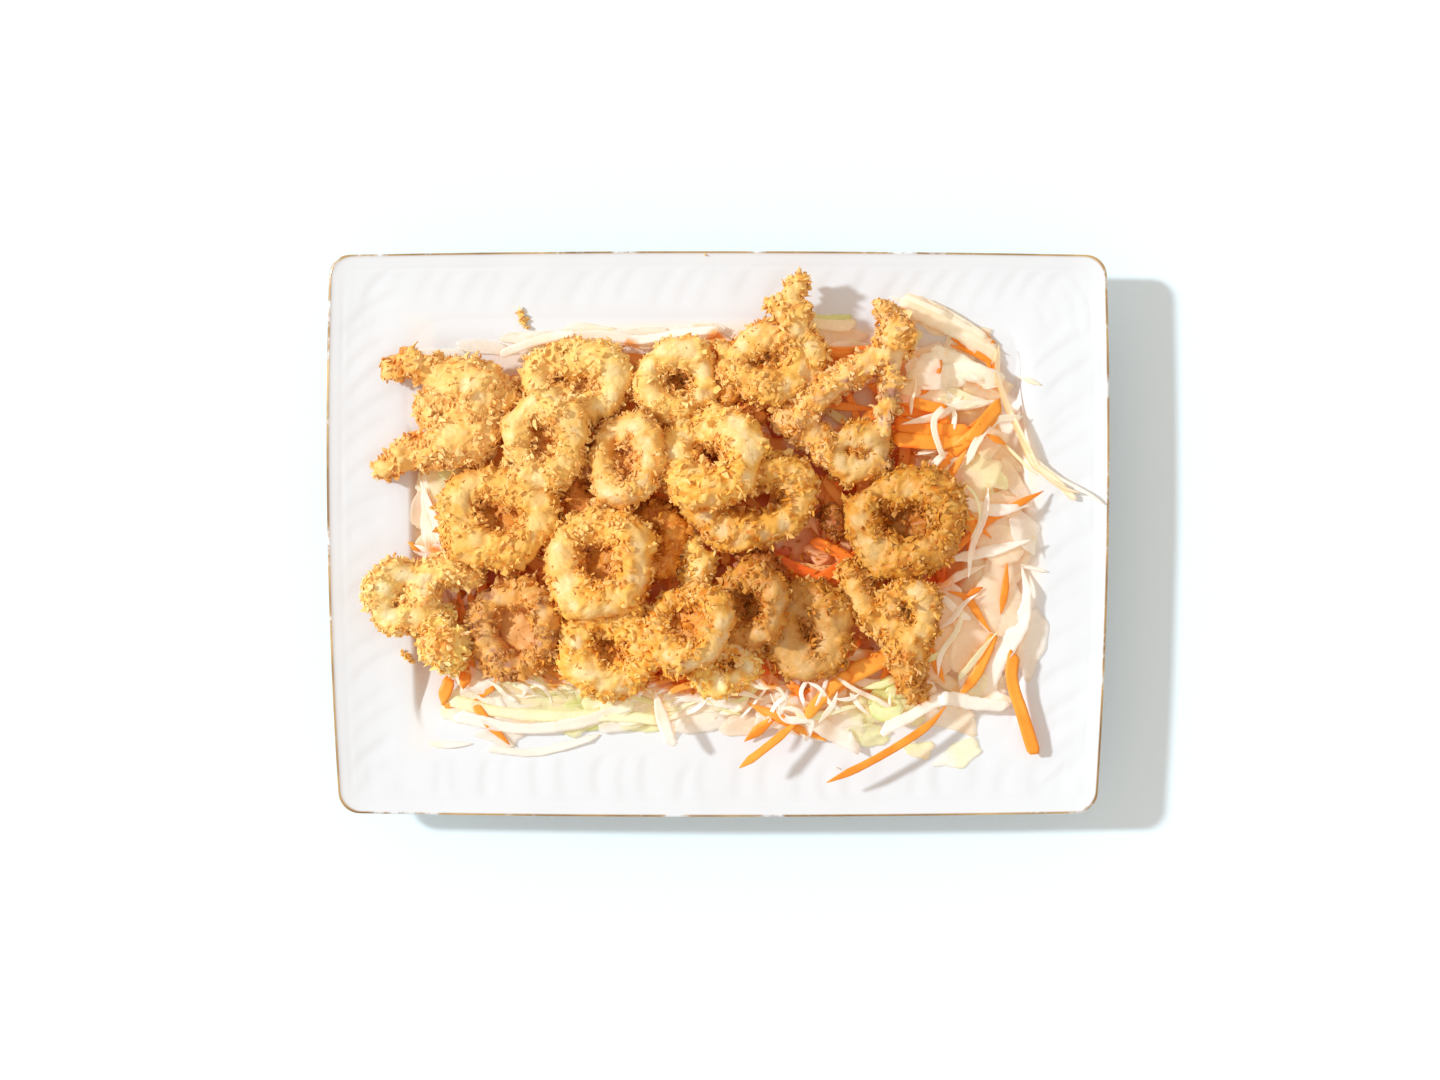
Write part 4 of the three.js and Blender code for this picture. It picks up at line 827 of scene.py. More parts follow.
def ring_surface(name, spacing, inset=INSET):
    """Skin of a ring, and how far each point is on the low inner slope that narrows the hole."""
    x, y, z, A, B, turn, w, h, lx, ly = RINGS[name]
    p = phase(name)
    close = SHELF.get(name, 0.15)
    nu = int(round(TAU * (A + B - 2 * w) / 2 / spacing * 1.05))

    def inner(v):
        d = np.abs((v - (-2.2) + math.pi) % TAU - math.pi)
        return np.where(d < 1.0, np.cos(d * math.pi / 2) ** 1.2, 0.0)

    # points round the section: dense where they can be seen, sparse below
    v, steps = -math.pi / 2, []
    end = v + TAU
    while v < end:
        steps.append(v)
        r = math.hypot(w * math.sin(v), h * math.cos(v)) - inset
        g = float(inner(np.array(v)))
        v += spacing * (1.0 if math.sin(v) > -0.45 else 1.9 - 0.9 * g) / max(r * (1 + 0.8 * g), 2)
    u, V = np.meshgrid(np.arange(nu) * TAU / nu, np.array(steps), indexing="ij")
    wall = w * (1 + 0.12 * np.sin(2 * u + p) + 0.09 * np.sin(5 * u + 2 * p)) - inset
    half = h * (1 + 0.1 * np.sin(3 * u + 3 * p)) - inset
    bend = 1 + 0.035 * np.sin(3 * u + p) + 0.025 * np.sin(4 * u + 1.7 * p)
    a, b = (A - w) * bend, (B - w) * bend
    ox, oy = np.cos(u) / a, np.sin(u) / b
    n = np.hypot(ox, oy)
    g = inner(V)
    k = 1 - close * g * (1 + 0.35 * np.sin(u + 5 * p) + 0.20 * np.sin(3 * u + 2 * p) + 0.12 * np.sin(7 * u + p) + 0.10 * np.sin(11 * u + 3 * p))
    q = np.stack([(a * np.cos(u) + ox / n * wall * np.cos(V)) * k, (b * np.sin(u) + oy / n * wall * np.cos(V)) * k,
                  half * np.sin(V) + 0.7 * np.sin(2 * u + p)], -1).reshape(-1, 3)
    P = place(q, name)
    low = smoothstep(-np.cos(V), 0.35, 0.9) * smoothstep(-np.sin(V), -0.75, 0.1)
    return P, outward_grid(P, nu, len(steps)), low.ravel()


def outward_grid(V, nu, nv):
    return outward(V, grid_faces(nu, nv, True, True))


def place(q, name):
    x, y, z, A, B, turn, w, h, lx, ly = RINGS[name]
    t = math.radians(turn)
    q = np.stack([q[:, 0] * math.cos(t) - q[:, 1] * math.sin(t), q[:, 0] * math.sin(t) + q[:, 1] * math.cos(t), q[:, 2]], -1)
    lean = math.hypot(lx, ly)
    if lean > 0:
        k = np.array([-ly / lean, lx / lean, 0])
        t = math.radians(lean)
        q = q * math.cos(t) + np.cross(k, q) * math.sin(t) + np.outer(q @ k, k) * (1 - math.cos(t))
    return q + (x, y, z)


def spline(points, spacing):
    """A centripetal Catmull-Rom curve through points (n, d) at even spacing; extra columns ride along."""
    P = np.asarray(points, float)
    d = min(P.shape[1], 3)
    P = np.concatenate([[2 * P[0] - P[1]], P, [2 * P[-1] - P[-2]]])
    t = np.concatenate([[0], np.cumsum(np.sqrt(np.maximum(np.linalg.norm(np.diff(P[:, :d], axis=0), axis=1), 1e-6)))])
    out = []
    for i in range(1, len(P) - 2):
        s = np.linspace(t[i], t[i + 1], 24, endpoint=False)[:, None]
        a1 = (t[i] - s) / (t[i] - t[i - 1]) * P[i - 1] + (s - t[i - 1]) / (t[i] - t[i - 1]) * P[i]
        a2 = (t[i + 1] - s) / (t[i + 1] - t[i]) * P[i] + (s - t[i]) / (t[i + 1] - t[i]) * P[i + 1]
        a3 = (t[i + 2] - s) / (t[i + 2] - t[i + 1]) * P[i + 1] + (s - t[i + 1]) / (t[i + 2] - t[i + 1]) * P[i + 2]
        b1 = (t[i + 1] - s) / (t[i + 1] - t[i - 1]) * a1 + (s - t[i - 1]) / (t[i + 1] - t[i - 1]) * a2
        b2 = (t[i + 2] - s) / (t[i + 2] - t[i]) * a2 + (s - t[i]) / (t[i + 2] - t[i]) * a3
        out.append((t[i + 1] - s) / (t[i + 1] - t[i]) * b1 + (s - t[i]) / (t[i + 1] - t[i]) * b2)
    C = np.concatenate(out + [P[-2][None]])
    length = np.concatenate([[0], np.cumsum(np.linalg.norm(np.diff(C[:, :d], axis=0), axis=1))])
    n = max(int(round(length[-1] / spacing)) + 1, 3)
    s = np.linspace(0, length[-1], n)
    return np.stack([np.interp(s, length, C[:, c]) for c in range(C.shape[1])], -1)


def capped(rows):
    """Faces of a skin over rows (n, m, 3), closed at both ends with a fan."""
    n, m = rows.shape[:2]
    V = np.concatenate([rows.reshape(-1, 3), [rows[0].mean(0), rows[-1].mean(0)]])
    j = np.arange(m)
    k = (j + 1) % m
    first = np.stack([np.full(m, n * m), k, j], -1)
    last = np.stack([np.full(m, n * m + 1), (n - 1) * m + j, (n - 1) * m + k], -1)
    F = np.concatenate([triangles(grid_faces(n, m, False, True)), first[:, [0, 2, 1]], last[:, [0, 2, 1]]])
    # fans follow the sides' winding
    return V, F


def limb(stations, name, inset=INSET):
    c = spline(stations, 1.2)
    slim = 0.90 if name == "cluster_upper_right" else 1.0
    r = c[:, 3] * slim * (1 + 0.07 * np.sin(9 * np.linspace(0, 1, len(c)) + phase(name))) - inset
    c = c[:, :3]
    T = unit(np.gradient(c, axis=0))
    # round the ends
    caps0 = [(-math.sin(a) * 0.85, math.cos(a)) for a in (1.35, 1.0, 0.55)]
    C = np.concatenate([[c[0] + T[0] * r[0] * s for s, _ in caps0], c, [c[-1] - T[-1] * r[-1] * s for s, _ in caps0[::-1]]])
    R = np.concatenate([[r[0] * q for _, q in caps0], r, [r[-1] * q for _, q in caps0[::-1]]])
    T = np.concatenate([[T[0]] * 3, T, [T[-1]] * 3])
    up = np.array([0, 0, 1.0])
    S = unit(np.cross(up, T))
    U = np.cross(T, S)
    v = np.arange(18) * TAU / 18
    rows = C[:, None] + R[:, None, None] * (S[:, None] * np.cos(v)[None, :, None] + U[:, None] * np.sin(v)[None, :, None])
    V, F = capped(rows)
    return V, outward(V, F)


def shards(at, N, size, rng, stand=0.42):
    """Rough crumbs: points, normals and sizes give closed ragged flakes, some lying and some on end."""
    out = []
    for pick, m in ((size > 0.85, 6), (size <= 0.85, 4)):
        n = int(pick.sum())
        if not n:
            continue
        nn = unit(N[pick] + 0.7 * rng.normal(size=(n, 3)))
        t = unit(np.cross(nn, rng.normal(size=(n, 3))))
        b = np.cross(nn, t)
        up = rng.random(n) < (stand[pick] if np.ndim(stand) else stand)
        # on end: the flake's long side runs along the normal
        t, nn = np.where(up[:, None], nn, t), np.where(up[:, None], t, nn)
        s = size[pick]
        wide, thick, curl = s * rng.uniform(0.45, 0.85, n), s * rng.uniform(0.16, 0.36, n), rng.uniform(-0.5, 0.5, n)
        a = (np.arange(m)[None] + rng.uniform(-0.3, 0.3, (n, m))) * TAU / m
        r = rng.uniform(0.55, 1.15, (n, m)) * np.where(rng.random((n, m)) < 0.2, 1.45, 1.0)
        x, y = r * np.cos(a), r * np.sin(a)
        k = np.stack([x * s[:, None], y * wide[:, None], curl[:, None] * x * x * s[:, None] + thick[:, None] * rng.uniform(-0.4, 0.4, (n, m))], -1)
        mid = np.zeros((n, 2, 3))
        mid[:, :, :2] = rng.uniform(-0.2, 0.2, (n, 2, 2)) * s[:, None, None]
        mid[:, 0, 2], mid[:, 1, 2] = thick, -thick
        k = np.concatenate([k, mid], 1)
        V = at[pick][:, None] + k[..., :1] * t[:, None] + k[..., 1:2] * b[:, None] + k[..., 2:] * nn[:, None]
        j = np.arange(m)
        j1 = (j + 1) % m
        one = np.concatenate([np.stack([j, j1, np.full(m, m)], -1), np.stack([j1, j, np.full(m, m + 1)], -1)])
        hand = np.einsum("ij,ij->i", np.cross(t, b), nn) < 0
        F = np.where(hand[:, None, None], one[:, ::-1][None], one[None]) + (np.arange(n) * (m + 2))[:, None, None]
        out.append((V.reshape(-1, 3), F.reshape(-1, 3), np.repeat(np.flatnonzero(pick), m + 2)))
    V = np.concatenate([o[0] for o in out])
    at0, F = 0, []
    for v, f, _ in out:
        F.append(f + at0)
        at0 += len(v)
    return V, np.concatenate(F), np.concatenate([o[2] for o in out])


def crusted(name, V, F, seed, crumbs=1.0, count=300, low=None, knobs=1.0, soft=1.0):
    """Displace a batter skin into a crumb crust, colour it, and add crumbs that stand off it."""
    rng = np.random.default_rng(seed)
    low = np.zeros(len(V)) if low is None else low
    V = V + normals(V, F) * (soft * (0.85 * noise(V, 9, seed) + 0.55 * noise(V, 4.6, seed + 1)))[:, None]
    N = normals(V, F)
    bald = near(V, BALD.get(name, ())) * smoothstep(N[:, 2], -0.3, 0.35) * (1 - low)
    skin = near(V, SKINNED.get(name, ()))
    # browner spots: real toasting, and painted shade in the middle of the rings' holes
    toast_and_hole_shade = near(V, TOASTED_AND_HOLE_SHADE.get(name, ()))
    crown = smoothstep(N[:, 2], 0.72, 0.97)
    cover = 0.57 * crumbs + 0.46 * noise(V, 7.5, seed + 2) + 0.34 * noise(V, 3.4, seed + 3) - 0.72 * bald - 0.12 * crown + (-0.7 if name == "ring_14" else 0.6) * low
    M = smoothstep(cover, 0.10, 0.46)
    Mc = smoothstep(cover, -0.05, 0.55)
    W = V + 0.85 * np.stack([noise(V, 1.9, seed + 4), noise(V, 1.9, seed + 5), noise(V, 1.9, seed + 6)], -1)
    d1, w1, o1 = cells(W, 3.1, seed + 7)
    d2, w2, o2 = cells(W, 1.6, seed + 11)
    d3, w3, _ = cells(W, 4.4, seed + 15)
    round1, round2 = np.clip(1 - 1.2 * d1 * d1, 0, 1), np.clip(1 - 1.2 * d2 * d2, 0, 1)
    t1, t2 = tilted(w1, o1), tilted(w2, o2)
    lump = (0.35 + 0.65 * w1) * round1 + 0.75 * t1 * round1
    fine = (0.35 + 0.65 * w2) * round2 + 0.60 * t2 * round2
    knob = smoothstep(w3, 0.45, 0.75) * np.clip(1 - 1.9 * d3 * d3, 0, 1)
    h = M * (0.20 + 1.35 * lump + 0.58 * fine + knobs * (0.85 + 0.85 * smoothstep(N[:, 2], 0.8, 0.3)) * knob) + (1 - M) * (0.34 * fine + 0.24 * noise(V, 2.8, seed + 20) + 0.20 * noise(V, 1.5, seed + 30))
    P = V + N * h[:, None]
    # colour: light yellow at the tips of the crumbs and deep orange-brown between them, partly the crumbs' own tone
    # and partly painted shade in the crevices and painted light on the tips; cream on bare batter
    # painted light: the crust is lighter and yellower towards the upper left, the side the sun comes from
    painted_sun_side = smoothstep(V[:, 1] - 0.8 * V[:, 0], -10, 130)
    t = 0.58 * lump + 0.20 * fine + 0.10 * noise(V, 1.5, seed + 21) + 0.04 + 0.14 * painted_sun_side
    brown = np.clip(0.5 + 0.5 * noise(V, 13, seed + 22), 0, 1)
    crumb = mix(DEEP, MID, smoothstep(t, -0.12, 0.16))
    crumb = mix(crumb, PEAK, smoothstep(t, 0.12, 0.52))
    crumb = mix(crumb, CREAM, 0.55 * smoothstep(w1, 0.72, 0.95) * smoothstep(t, 0.15, 0.4))
    crumb = mix(crumb, BROWN, np.clip(0.45 * smoothstep(w1, 0.16, 0.02) + 0.20 * smoothstep(brown, 0.55, 0.95) + 0.75 * toast_and_hole_shade * (0.6 + 0.4 * noise(V, 2.6, seed + 23)), 0, 0.85))
    # painted shade: the steep and downward sides of the batter are mixed towards deeper orange
    side = smoothstep(N[:, 2], 0.75, 0.1)
    batter = mix(GOLDEN, CREAM, np.clip(smoothstep(noise(V, 6.0, seed + 24) + 0.7 * bald, -0.35, 0.45) * (0.8 + 0.3 * fine), 0, 1))
    batter = mix(batter, PALE, 0.75 * smoothstep(noise(V, 4.0, seed + 25) + 0.9 * bald, 0.35, 0.95))
    batter = mix(batter, MID, 0.45 * side)
    col = mix(batter, crumb, Mc)
    # painted shade in the rings' holes: their low inner slope and floor are mixed towards deep orange and brown;
    # ring_14's hollow is mixed towards peach instead
    inside, much = (PEACH, 0.65) if name == "ring_14" else (DEEP, 0.32)
    col = mix(col, inside, low * (much + 0.25 * noise(V, 3.2, seed + 28)))
    col = mix(col, BROWN, (0.1 if name == "ring_14" else 0.45) * low * smoothstep(noise(V, 2.2, seed + 29), -0.2, 0.4))
    # painted light on the sun side
    col = mix(col, (0.97, 0.72, 0.32), 0.30 * painted_sun_side * (1 - low) * (1 - toast_and_hole_shade))
    col = mix(col, SKIN, np.clip(skin * smoothstep(noise(V, 2.0, seed + 26), -0.05, 0.35), 0, 0.85))
    # painted shade on the undersides
    col = mix(col, DEEP, 0.40 * smoothstep(N[:, 2], 0.25, -0.25))
    col = col * (1 + 0.06 * noise(V, 1.0, seed + 27))[:, None]
    # crumbs that stand off the crust
    weight = (0.10 + M * M * (0.35 + np.clip(t, 0, 1))) * (N[:, 2] > -0.55) * (1 + 0.7 * smoothstep(N[:, 2], 0.7, 0.2)) * (1 - 0.30 * crown * (1 - low)) * (1 - 0.5 * low)
    pick = rng.choice(len(V), size=count, p=weight / weight.sum())
    size = np.clip(np.exp(rng.normal(0.12, 0.45, count)), 0.5, 2.4) * (0.6 + 0.4 * M[pick])
    flank = smoothstep(N[pick, 2], 0.75, 0.2)
    pos = P[pick] + N[pick] * (size * rng.uniform(-0.10, 0.50, count))[:, None] + rng.normal(size=(count, 3)) * 0.25
    SV, SF, who = shards(pos, N[pick], size, rng, 0.35 + 0.35 * flank)
    tone = rng.random(count)
    sc = mix(DEEP, MID, smoothstep(tone, -0.10, 0.06))
    sc = mix(sc, PEAK, smoothstep(tone, 0.02, 0.28))
    sc = mix(sc, CREAM, 0.9 * smoothstep(tone, 0.38, 0.68))
    sc = mix(sc, BROWN, np.clip((tone < 0.03) * 0.5 + 0.5 * toast_and_hole_shade[pick], 0, 0.85))
    # painted shade on the crumbs in the holes
    sc = mix(sc, DEEP, 0.45 * low[pick])
    sc = mix(sc, SKIN, np.clip(skin[pick] * 0.5, 0, 1))
    tip = np.clip(0.45 + ((SV - pos[who]) * N[pick][who]).sum(1) / (1.6 * size[who]), 0, 1)
    # painted light on the sun side of the standing crumbs
    sc = mix(sc, (0.97, 0.74, 0.36), 0.5 * painted_sun_side[pick] * (1 - toast_and_hole_shade[pick]))
    # painted shade at the roots of the standing crumbs
    sc = sc[who] * (1 - (1 - tip[:, None]) * (0.05, 0.13, 0.27)) * rng.uniform(0.94, 1.05, len(who))[:, None]
    at = len(P)
    parts = [(triangles(F), True), (SF + at, False)]
    ob = make("crumbed_" + name, np.concatenate([P, SV]), parts, np.clip(np.concatenate([col, sc]) * np.exp(DONE_AND_SHADE.get(name, 0.05) * np.array([-0.28, -0.50, -0.66])) * (1.02, 1.01, 0.89) * TINT.get(name, (1, 1, 1)), 0, 0.97), material=CRUST)
    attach(ob, "root")
    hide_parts(name)
    return ob


def hole_floor(name):
    """Crumbs and batter caught low down in a ring's hole, as an uneven closed lens."""
    x, y, z, A, B, turn, w, h, lx, ly = RINGS[name]
    p = phase(name)
    n, m = 18, 46
    lat = np.linspace(0.05, math.pi - 0.05, n)
    lon = np.arange(m) * TAU / m
    a, b = A - 1.25 * w, B - 1.25 * w
    X, Y = np.outer(np.sin(lat), np.cos(lon)) * a, np.outer(np.sin(lat), np.sin(lon)) * b
    k = FLOOR.get(name, 0.62)
    Z = np.outer(np.cos(lat), np.ones(m)) * h * 0.22 - h * k + 0.9 * np.sin(X / 2.3 + p) * np.sin(Y / 2.0 + 2 * p) + 2.0 * (X * math.cos(3 * p) / a + Y * math.sin(3 * p) / b)
    V, F = capped(np.stack([X, Y, Z], -1))
    V = place(V, name)
    return V, outward(V, F)


def ellipsoid(name, inset):
    """The batter that closes a curled ring's middle."""
    x, y, z, A, B, turn, w, h, lx, ly = RINGS[name]
    n, m = 14, 28
    lat = np.linspace(0.02, math.pi - 0.02, n)
    lon = np.arange(m) * TAU / m
    rows = np.stack([np.outer(np.sin(lat), np.cos(lon)) * (A - w - inset), np.outer(np.sin(lat), np.sin(lon)) * (B - w - inset),
                     np.outer(np.cos(lat), np.ones(m)) * (h * 0.30 - 0.5 * inset) - 0.40 * h], -1)
    V, F = capped(rows)
    V = place(V, name)
    return V, outward(V, F)


def fried():
    seed = 1000
    for name in RINGS:
        seed += 40
        if name in LIMBS:
            continue
        V, F, low = ring_surface(name, 0.73)
        size = RINGS[name][3] + RINGS[name][4]
        if name not in OPEN:
            V2, F2 = hole_floor(name)
            # the hole floor takes the holes' painted shade
            low = np.concatenate([low, np.full(len(V2), 0.9)])
            V, F = joined([(V, triangles(F)), (V2, F2)])
        crusted(name, V, F, seed, count=int(26 * size), low=low)
    for name, limbs in LIMBS.items():
        seed += 40
        parts = [limb(s, name) for s in limbs]
        if name in RINGS:
            V, F, _ = ring_surface(name, 1.0)
            parts.append((V, F))
            parts.append(ellipsoid(name, INSET))
        V, F = joined(parts)
        V, F = voxels(V, F, 0.72)
        V = relaxed(V, F, 3)
        area = len(V) * 0.5
        curled = name in RINGS
        rough = 0.5 if curled else 0.9 if name == "cluster_upper_right" else 1.4
        crusted(name, V, F, seed, crumbs=0.92, count=int(min(1600, 100 + 0.32 * area)), knobs=0.6 if curled else 0.9 if name == "cluster_upper_right" else 1.5, soft=rough)


# ------------------------------------------------------------------ salad
def bed_s(x, y):
    return (np.abs((x - 4) / 131.0) ** 3.2 + np.abs((y - 3.5) / 85.0) ** 3.2) ** (1 / 3.2)


def bed_top(x, y):
    e = smoothstep((1.02 - bed_s(x, y)) / 0.24, 0, 1)
    waves = 1.2 * np.sin(x / 17 + 0.6) * np.sin(y / 13 + 1.1) + 0.9 * np.sin(x / 9.5 - 1) * np.cos(y / 11 + 0.4)
    right = smoothstep(x, 92, 112)
    front = 8 * smoothstep(x, 8, 34) * smoothstep(-y, 58, 72) * (1 - right)
    return 16.4 + np.maximum(5 + 5 * e + waves + right * (8 * e + 3.5 * (1 - e)) + front, 1.5)


def core_top(x, y):
    """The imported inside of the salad: lower than the heap, and gone before its edge."""
    p = np.stack([x, y, np.zeros_like(x)], -1).reshape(-1, 3)
    n = (1.3 * noise(p, 7, 61) + 0.9 * noise(p, 3.4, 62)).reshape(np.shape(x))
    corner = 0.10 * np.clip(np.cos(np.arctan2(y - 3.5, x - 4) - 3.9), 0, 1) ** 6
    left = smoothstep(-x, 98, 112) * smoothstep(np.abs(y - 7), 32, 22)
    inside = smoothstep(bed_s(x, y) + corner - 0.045 * left, 0.97, 0.84)
    inside = np.maximum(inside, left * smoothstep(bed_s(x, y), 1.0, 0.95))
    return np.where(inside > 0, lerp(15.0, bed_top(x, y) - 4.6 + 3.2 * left - 3.2 * bare(x, y) + n * (1 - 0.5 * bare(x, y)), inside), -50.0)


def bare(x, y):
    """1 where the salad lies open beside the heap."""
    return np.maximum(smoothstep(x, 84, 98), smoothstep(-y, 60, 68) * smoothstep(x, 0, 20))


class Pile:
    """Height of everything laid so far, on a 1 mm grid: the next shred lies on it."""
    X0, Y0, NX, NY = -172.0, -126.0, 345, 253

    def __init__(self):
        X, Y = np.meshgrid(self.X0 + np.arange(self.NX), self.Y0 + np.arange(self.NY), indexing="ij")
        self.h = np.maximum(np.maximum(plate_top(X, Y), core_top(X, Y)), 0.0)

    def cell(self, x, y):
        return (np.clip(np.round(x - self.X0).astype(int), 0, self.NX - 1), np.clip(np.round(y - self.Y0).astype(int), 0, self.NY - 1))

    def under(self, x, y):
        return self.h[self.cell(x, y)]

    def cover(self, x, y, z):
        np.maximum.at(self.h, self.cell(x, y), z)

    def sheet(self, x, y, reach):
        """Height at which a limp sheet of that stiffness would lie at points x, y."""
        k = int(reach)
        i0, j0 = (int(max(v, 0)) for v in (x.min() - self.X0 - 2 * k - 2, y.min() - self.Y0 - 2 * k - 2))
        i1, j1 = int(min(x.max() - self.X0 + 2 * k + 3, self.NX)), int(min(y.max() - self.Y0 + 2 * k + 3, self.NY))
        g = self.h[i0:i1, j0:j1]
        view = np.lib.stride_tricks.sliding_window_view
        g = view(np.pad(g, k, mode="edge"), (2 * k + 1, 2 * k + 1)).max((2, 3))
        g = view(np.pad(g, k, mode="edge"), (2 * k + 1, 2 * k + 1)).mean((2, 3))
        fx, fy = np.clip(x - self.X0 - i0, 0, g.shape[0] - 1.001), np.clip(y - self.Y0 - j0, 0, g.shape[1] - 1.001)
        i, j = fx.astype(int), fy.astype(int)
        a, b = fx - i, fy - j
        return (g[i, j] * (1 - a) + g[i + 1, j] * a) * (1 - b) + (g[i, j + 1] * (1 - a) + g[i + 1, j + 1] * a) * b


def ceiling(x, y):
    """Highest that a shred may lie beside the heap."""
    beside = np.maximum(smoothstep(x, 84, 98), smoothstep(-y, 60, 68))
    top = lerp(np.maximum(bed_top(x, y), plate_top(x, y) + 1.4), plate_top(x, y) + 0.9, smoothstep(bed_s(x, y), 0.97, 1.05))
    return top + 1.4 + 30 * (1 - beside)


def envelope(h, k):
    """What a stiff strip of reach k stations would lie on."""
    w = 2 * k + 1
    view = np.lib.stride_tricks.sliding_window_view
    top = view(np.pad(h, k, mode="edge"), w).max(1)
    return view(np.pad(top, k, mode="edge"), w).mean(1)


# white, orange on one edge, yellow-green, green, purple, peach; the peach paints in the carrots' colour showing
# through thin leaves, as painted light
CABBAGE_TINTS = [((0.97, 0.93, 0.84), (0.97, 0.95, 0.90)), ((0.98, 0.88, 0.70), (0.98, 0.56, 0.17)), ((0.92, 0.94, 0.60), (0.86, 0.90, 0.46)),
                 ((0.80, 0.88, 0.36), (0.68, 0.80, 0.24)), ((0.92, 0.78, 0.64), (0.80, 0.62, 0.52)), ((0.99, 0.79, 0.57), (0.98, 0.88, 0.73))]
CARROT_TINTS = ((0.96, 0.26, 0.015), (0.99, 0.40, 0.045))


def strand(pile, pts, width, kind, tint, rng, ends=None, cap=None):
    """One closed flat shred along pts, laid on the pile. Returns points, faces and colours, or None if it would stand too high."""
    carrot = kind == "carrot"
    step = 2.0 if carrot else 1.7
    c = spline(pts, step)
    n = len(c)
    T2 = unit(np.gradient(c, axis=0))
    S2 = np.stack([-T2[:, 1], T2[:, 0]], -1)
    s = np.arange(n) * step
    L = s[-1]
    t = s / L
    # broad pieces are cut off blunt, narrow ones run out to a point
    blunt = rng.random(2) < ((0.85 if carrot else 0.7) if width >= 4.4 else 0.2)
    taper = np.minimum(np.where(blunt, (0.10 if carrot else 0.25) * width, width * rng.uniform(1.6, 4.2, 2)), 0.45 * L)
    tip = np.minimum(1, np.minimum((s + 0.3) / taper[0], (L - s + 0.3) / taper[1]))
    w = width * (0.06 + 0.94 * tip ** 0.9) * (1 + (0.04 if carrot else 0.08) * np.sin(s / rng.uniform(4.0, 9.0) + rng.uniform(0, 6)))
    skew = np.exp(-s / (0.5 * width)) * rng.uniform(-1.3, 1.3) * blunt[0] + np.exp(-(L - s) / (0.5 * width)) * rng.uniform(-1.3, 1.3) * blunt[1]
    if carrot:
        thick = min(width * rng.uniform(0.16, 0.26), 0.9)
        ruffle, cup = 0.0, rng.uniform(-0.1, 0.15)
        turn = rng.uniform(-0.15, 0.15) + rng.uniform(0.0, 0.2) * np.sin(s / rng.uniform(12, 30) + rng.uniform(0, 6))
    else:
        thick = rng.uniform(0.30, 0.42)
        ruffle = (0.02 + 0.05 * rng.random()) * width if width >= 5 else 0.02 * width
        cup = rng.uniform(-0.10, 0.30)
        turn = rng.uniform(-0.2, 0.2) + (0.45 if width < 4.2 else 0.14) * np.sin(s / rng.uniform(9, 22) + rng.uniform(0, 6))
    half = w / 2
    h = np.max([pile.under(c[:, 0] + S2[:, 0] * half * k, c[:, 1] + S2[:, 1] * half * k) for k in (-1, -0.5, 0, 0.5, 1)], axis=0)
    k = max(int((15 if carrot else 9) / step), 1)
    z = envelope(h, min(k, max(n // 2, 1)))
    if ends is not None:
        z = np.maximum(lerp(ends[0], ends[1], t), envelope(h, 1))
    else:
        z = np.minimum(z, ceiling(c[:, 0], c[:, 1]))
    lift = half * np.abs(np.sin(turn)) + 0.5 * ruffle + max(-cup, 0) * half
    z = z + thick / 2 + lift + 0.05
    if cap is not None and np.any(z + thick / 2 > cap(c[:, 0], c[:, 1])):
        return None
    C = np.column_stack([c, z])
    T = unit(np.gradient(C, axis=0))
    S = unit(np.cross(np.array([0, 0, 1.0]), T))
    U = np.cross(T, S)
    S, U = (S * np.cos(turn)[:, None] + U * np.sin(turn)[:, None], -S * np.sin(turn)[:, None] + U * np.cos(turn)[:, None])
    a = np.array([-1, -0.5, 0.5, 1, 1, 0.5, -0.5, -1])
    edge = 0.7 if carrot else 0.25
    b = np.array([edge, 1, 1, edge, -edge, -1, -1, -edge]) * thick / 2
    wave = np.sin(s[:, None] / rng.uniform(1.3, 2.4) + np.where(a > 0, 0.0, 1.9)[None] + rng.uniform(0, 6))
    bend = cup * half[:, None] * a[None] ** 2 + ruffle * np.abs(a[None]) ** 3 * wave
    torn = np.where(np.abs(a)[None] == 1, 1 + (0.02 if carrot else 0.05) * rng.normal(size=(n, 2))[:, (a > 0).astype(int)], 1)
    rows = C[:, None] + S[:, None] * (half[:, None] * a[None] * torn)[..., None] + U[:, None] * (b[None] + bend)[..., None] \
        + T[:, None] * (skew[:, None] * half[:, None] * a[None])[..., None]
    V, F = capped(rows)
    F = outward(V, F)
    for k in np.linspace(-1, 1, 5):
        for m in (0.0, 0.5):
            x = c[:, 0] + S2[:, 0] * half * k + T2[:, 0] * m * step
            y = c[:, 1] + S2[:, 1] * half * k + T2[:, 1] * m * step
            pile.cover(x, y, z + thick / 2)
    aa = np.concatenate([np.tile(a, n), [0, 0]])
    if carrot:
        col = mix(CARROT_TINTS[0], CARROT_TINTS[1], np.clip(rng.uniform(0.0, 0.8) + 0.4 * noise(V, 5, 71), 0, 1))
        col = col * (1 + 0.05 * noise(V, 2, 73))[:, None]
    else:
        one, two = CABBAGE_TINTS[tint]
        across = smoothstep(aa * rng.choice([-1, 1]), 0.0, 1.0) if tint else np.abs(aa) * 0.6
        col = mix(one, two, np.clip(across + 0.35 * noise(V, 6, 72), 0, 1)) * rng.uniform(0.96, 1.02)
        col = mix(col, CABBAGE_TINTS[int(rng.choice([0, 2, 5]))][0], 0.6 * smoothstep(noise(V, 13, int(rng.integers(100, 900))), 0.0, 0.5) * (tint != 3))
        col = mix(col, (0.97, 0.94, 0.86), (np.abs(aa) < 0.6) * 0.3)
        col = np.clip(col, 0, 0.97)
    return V, F, col


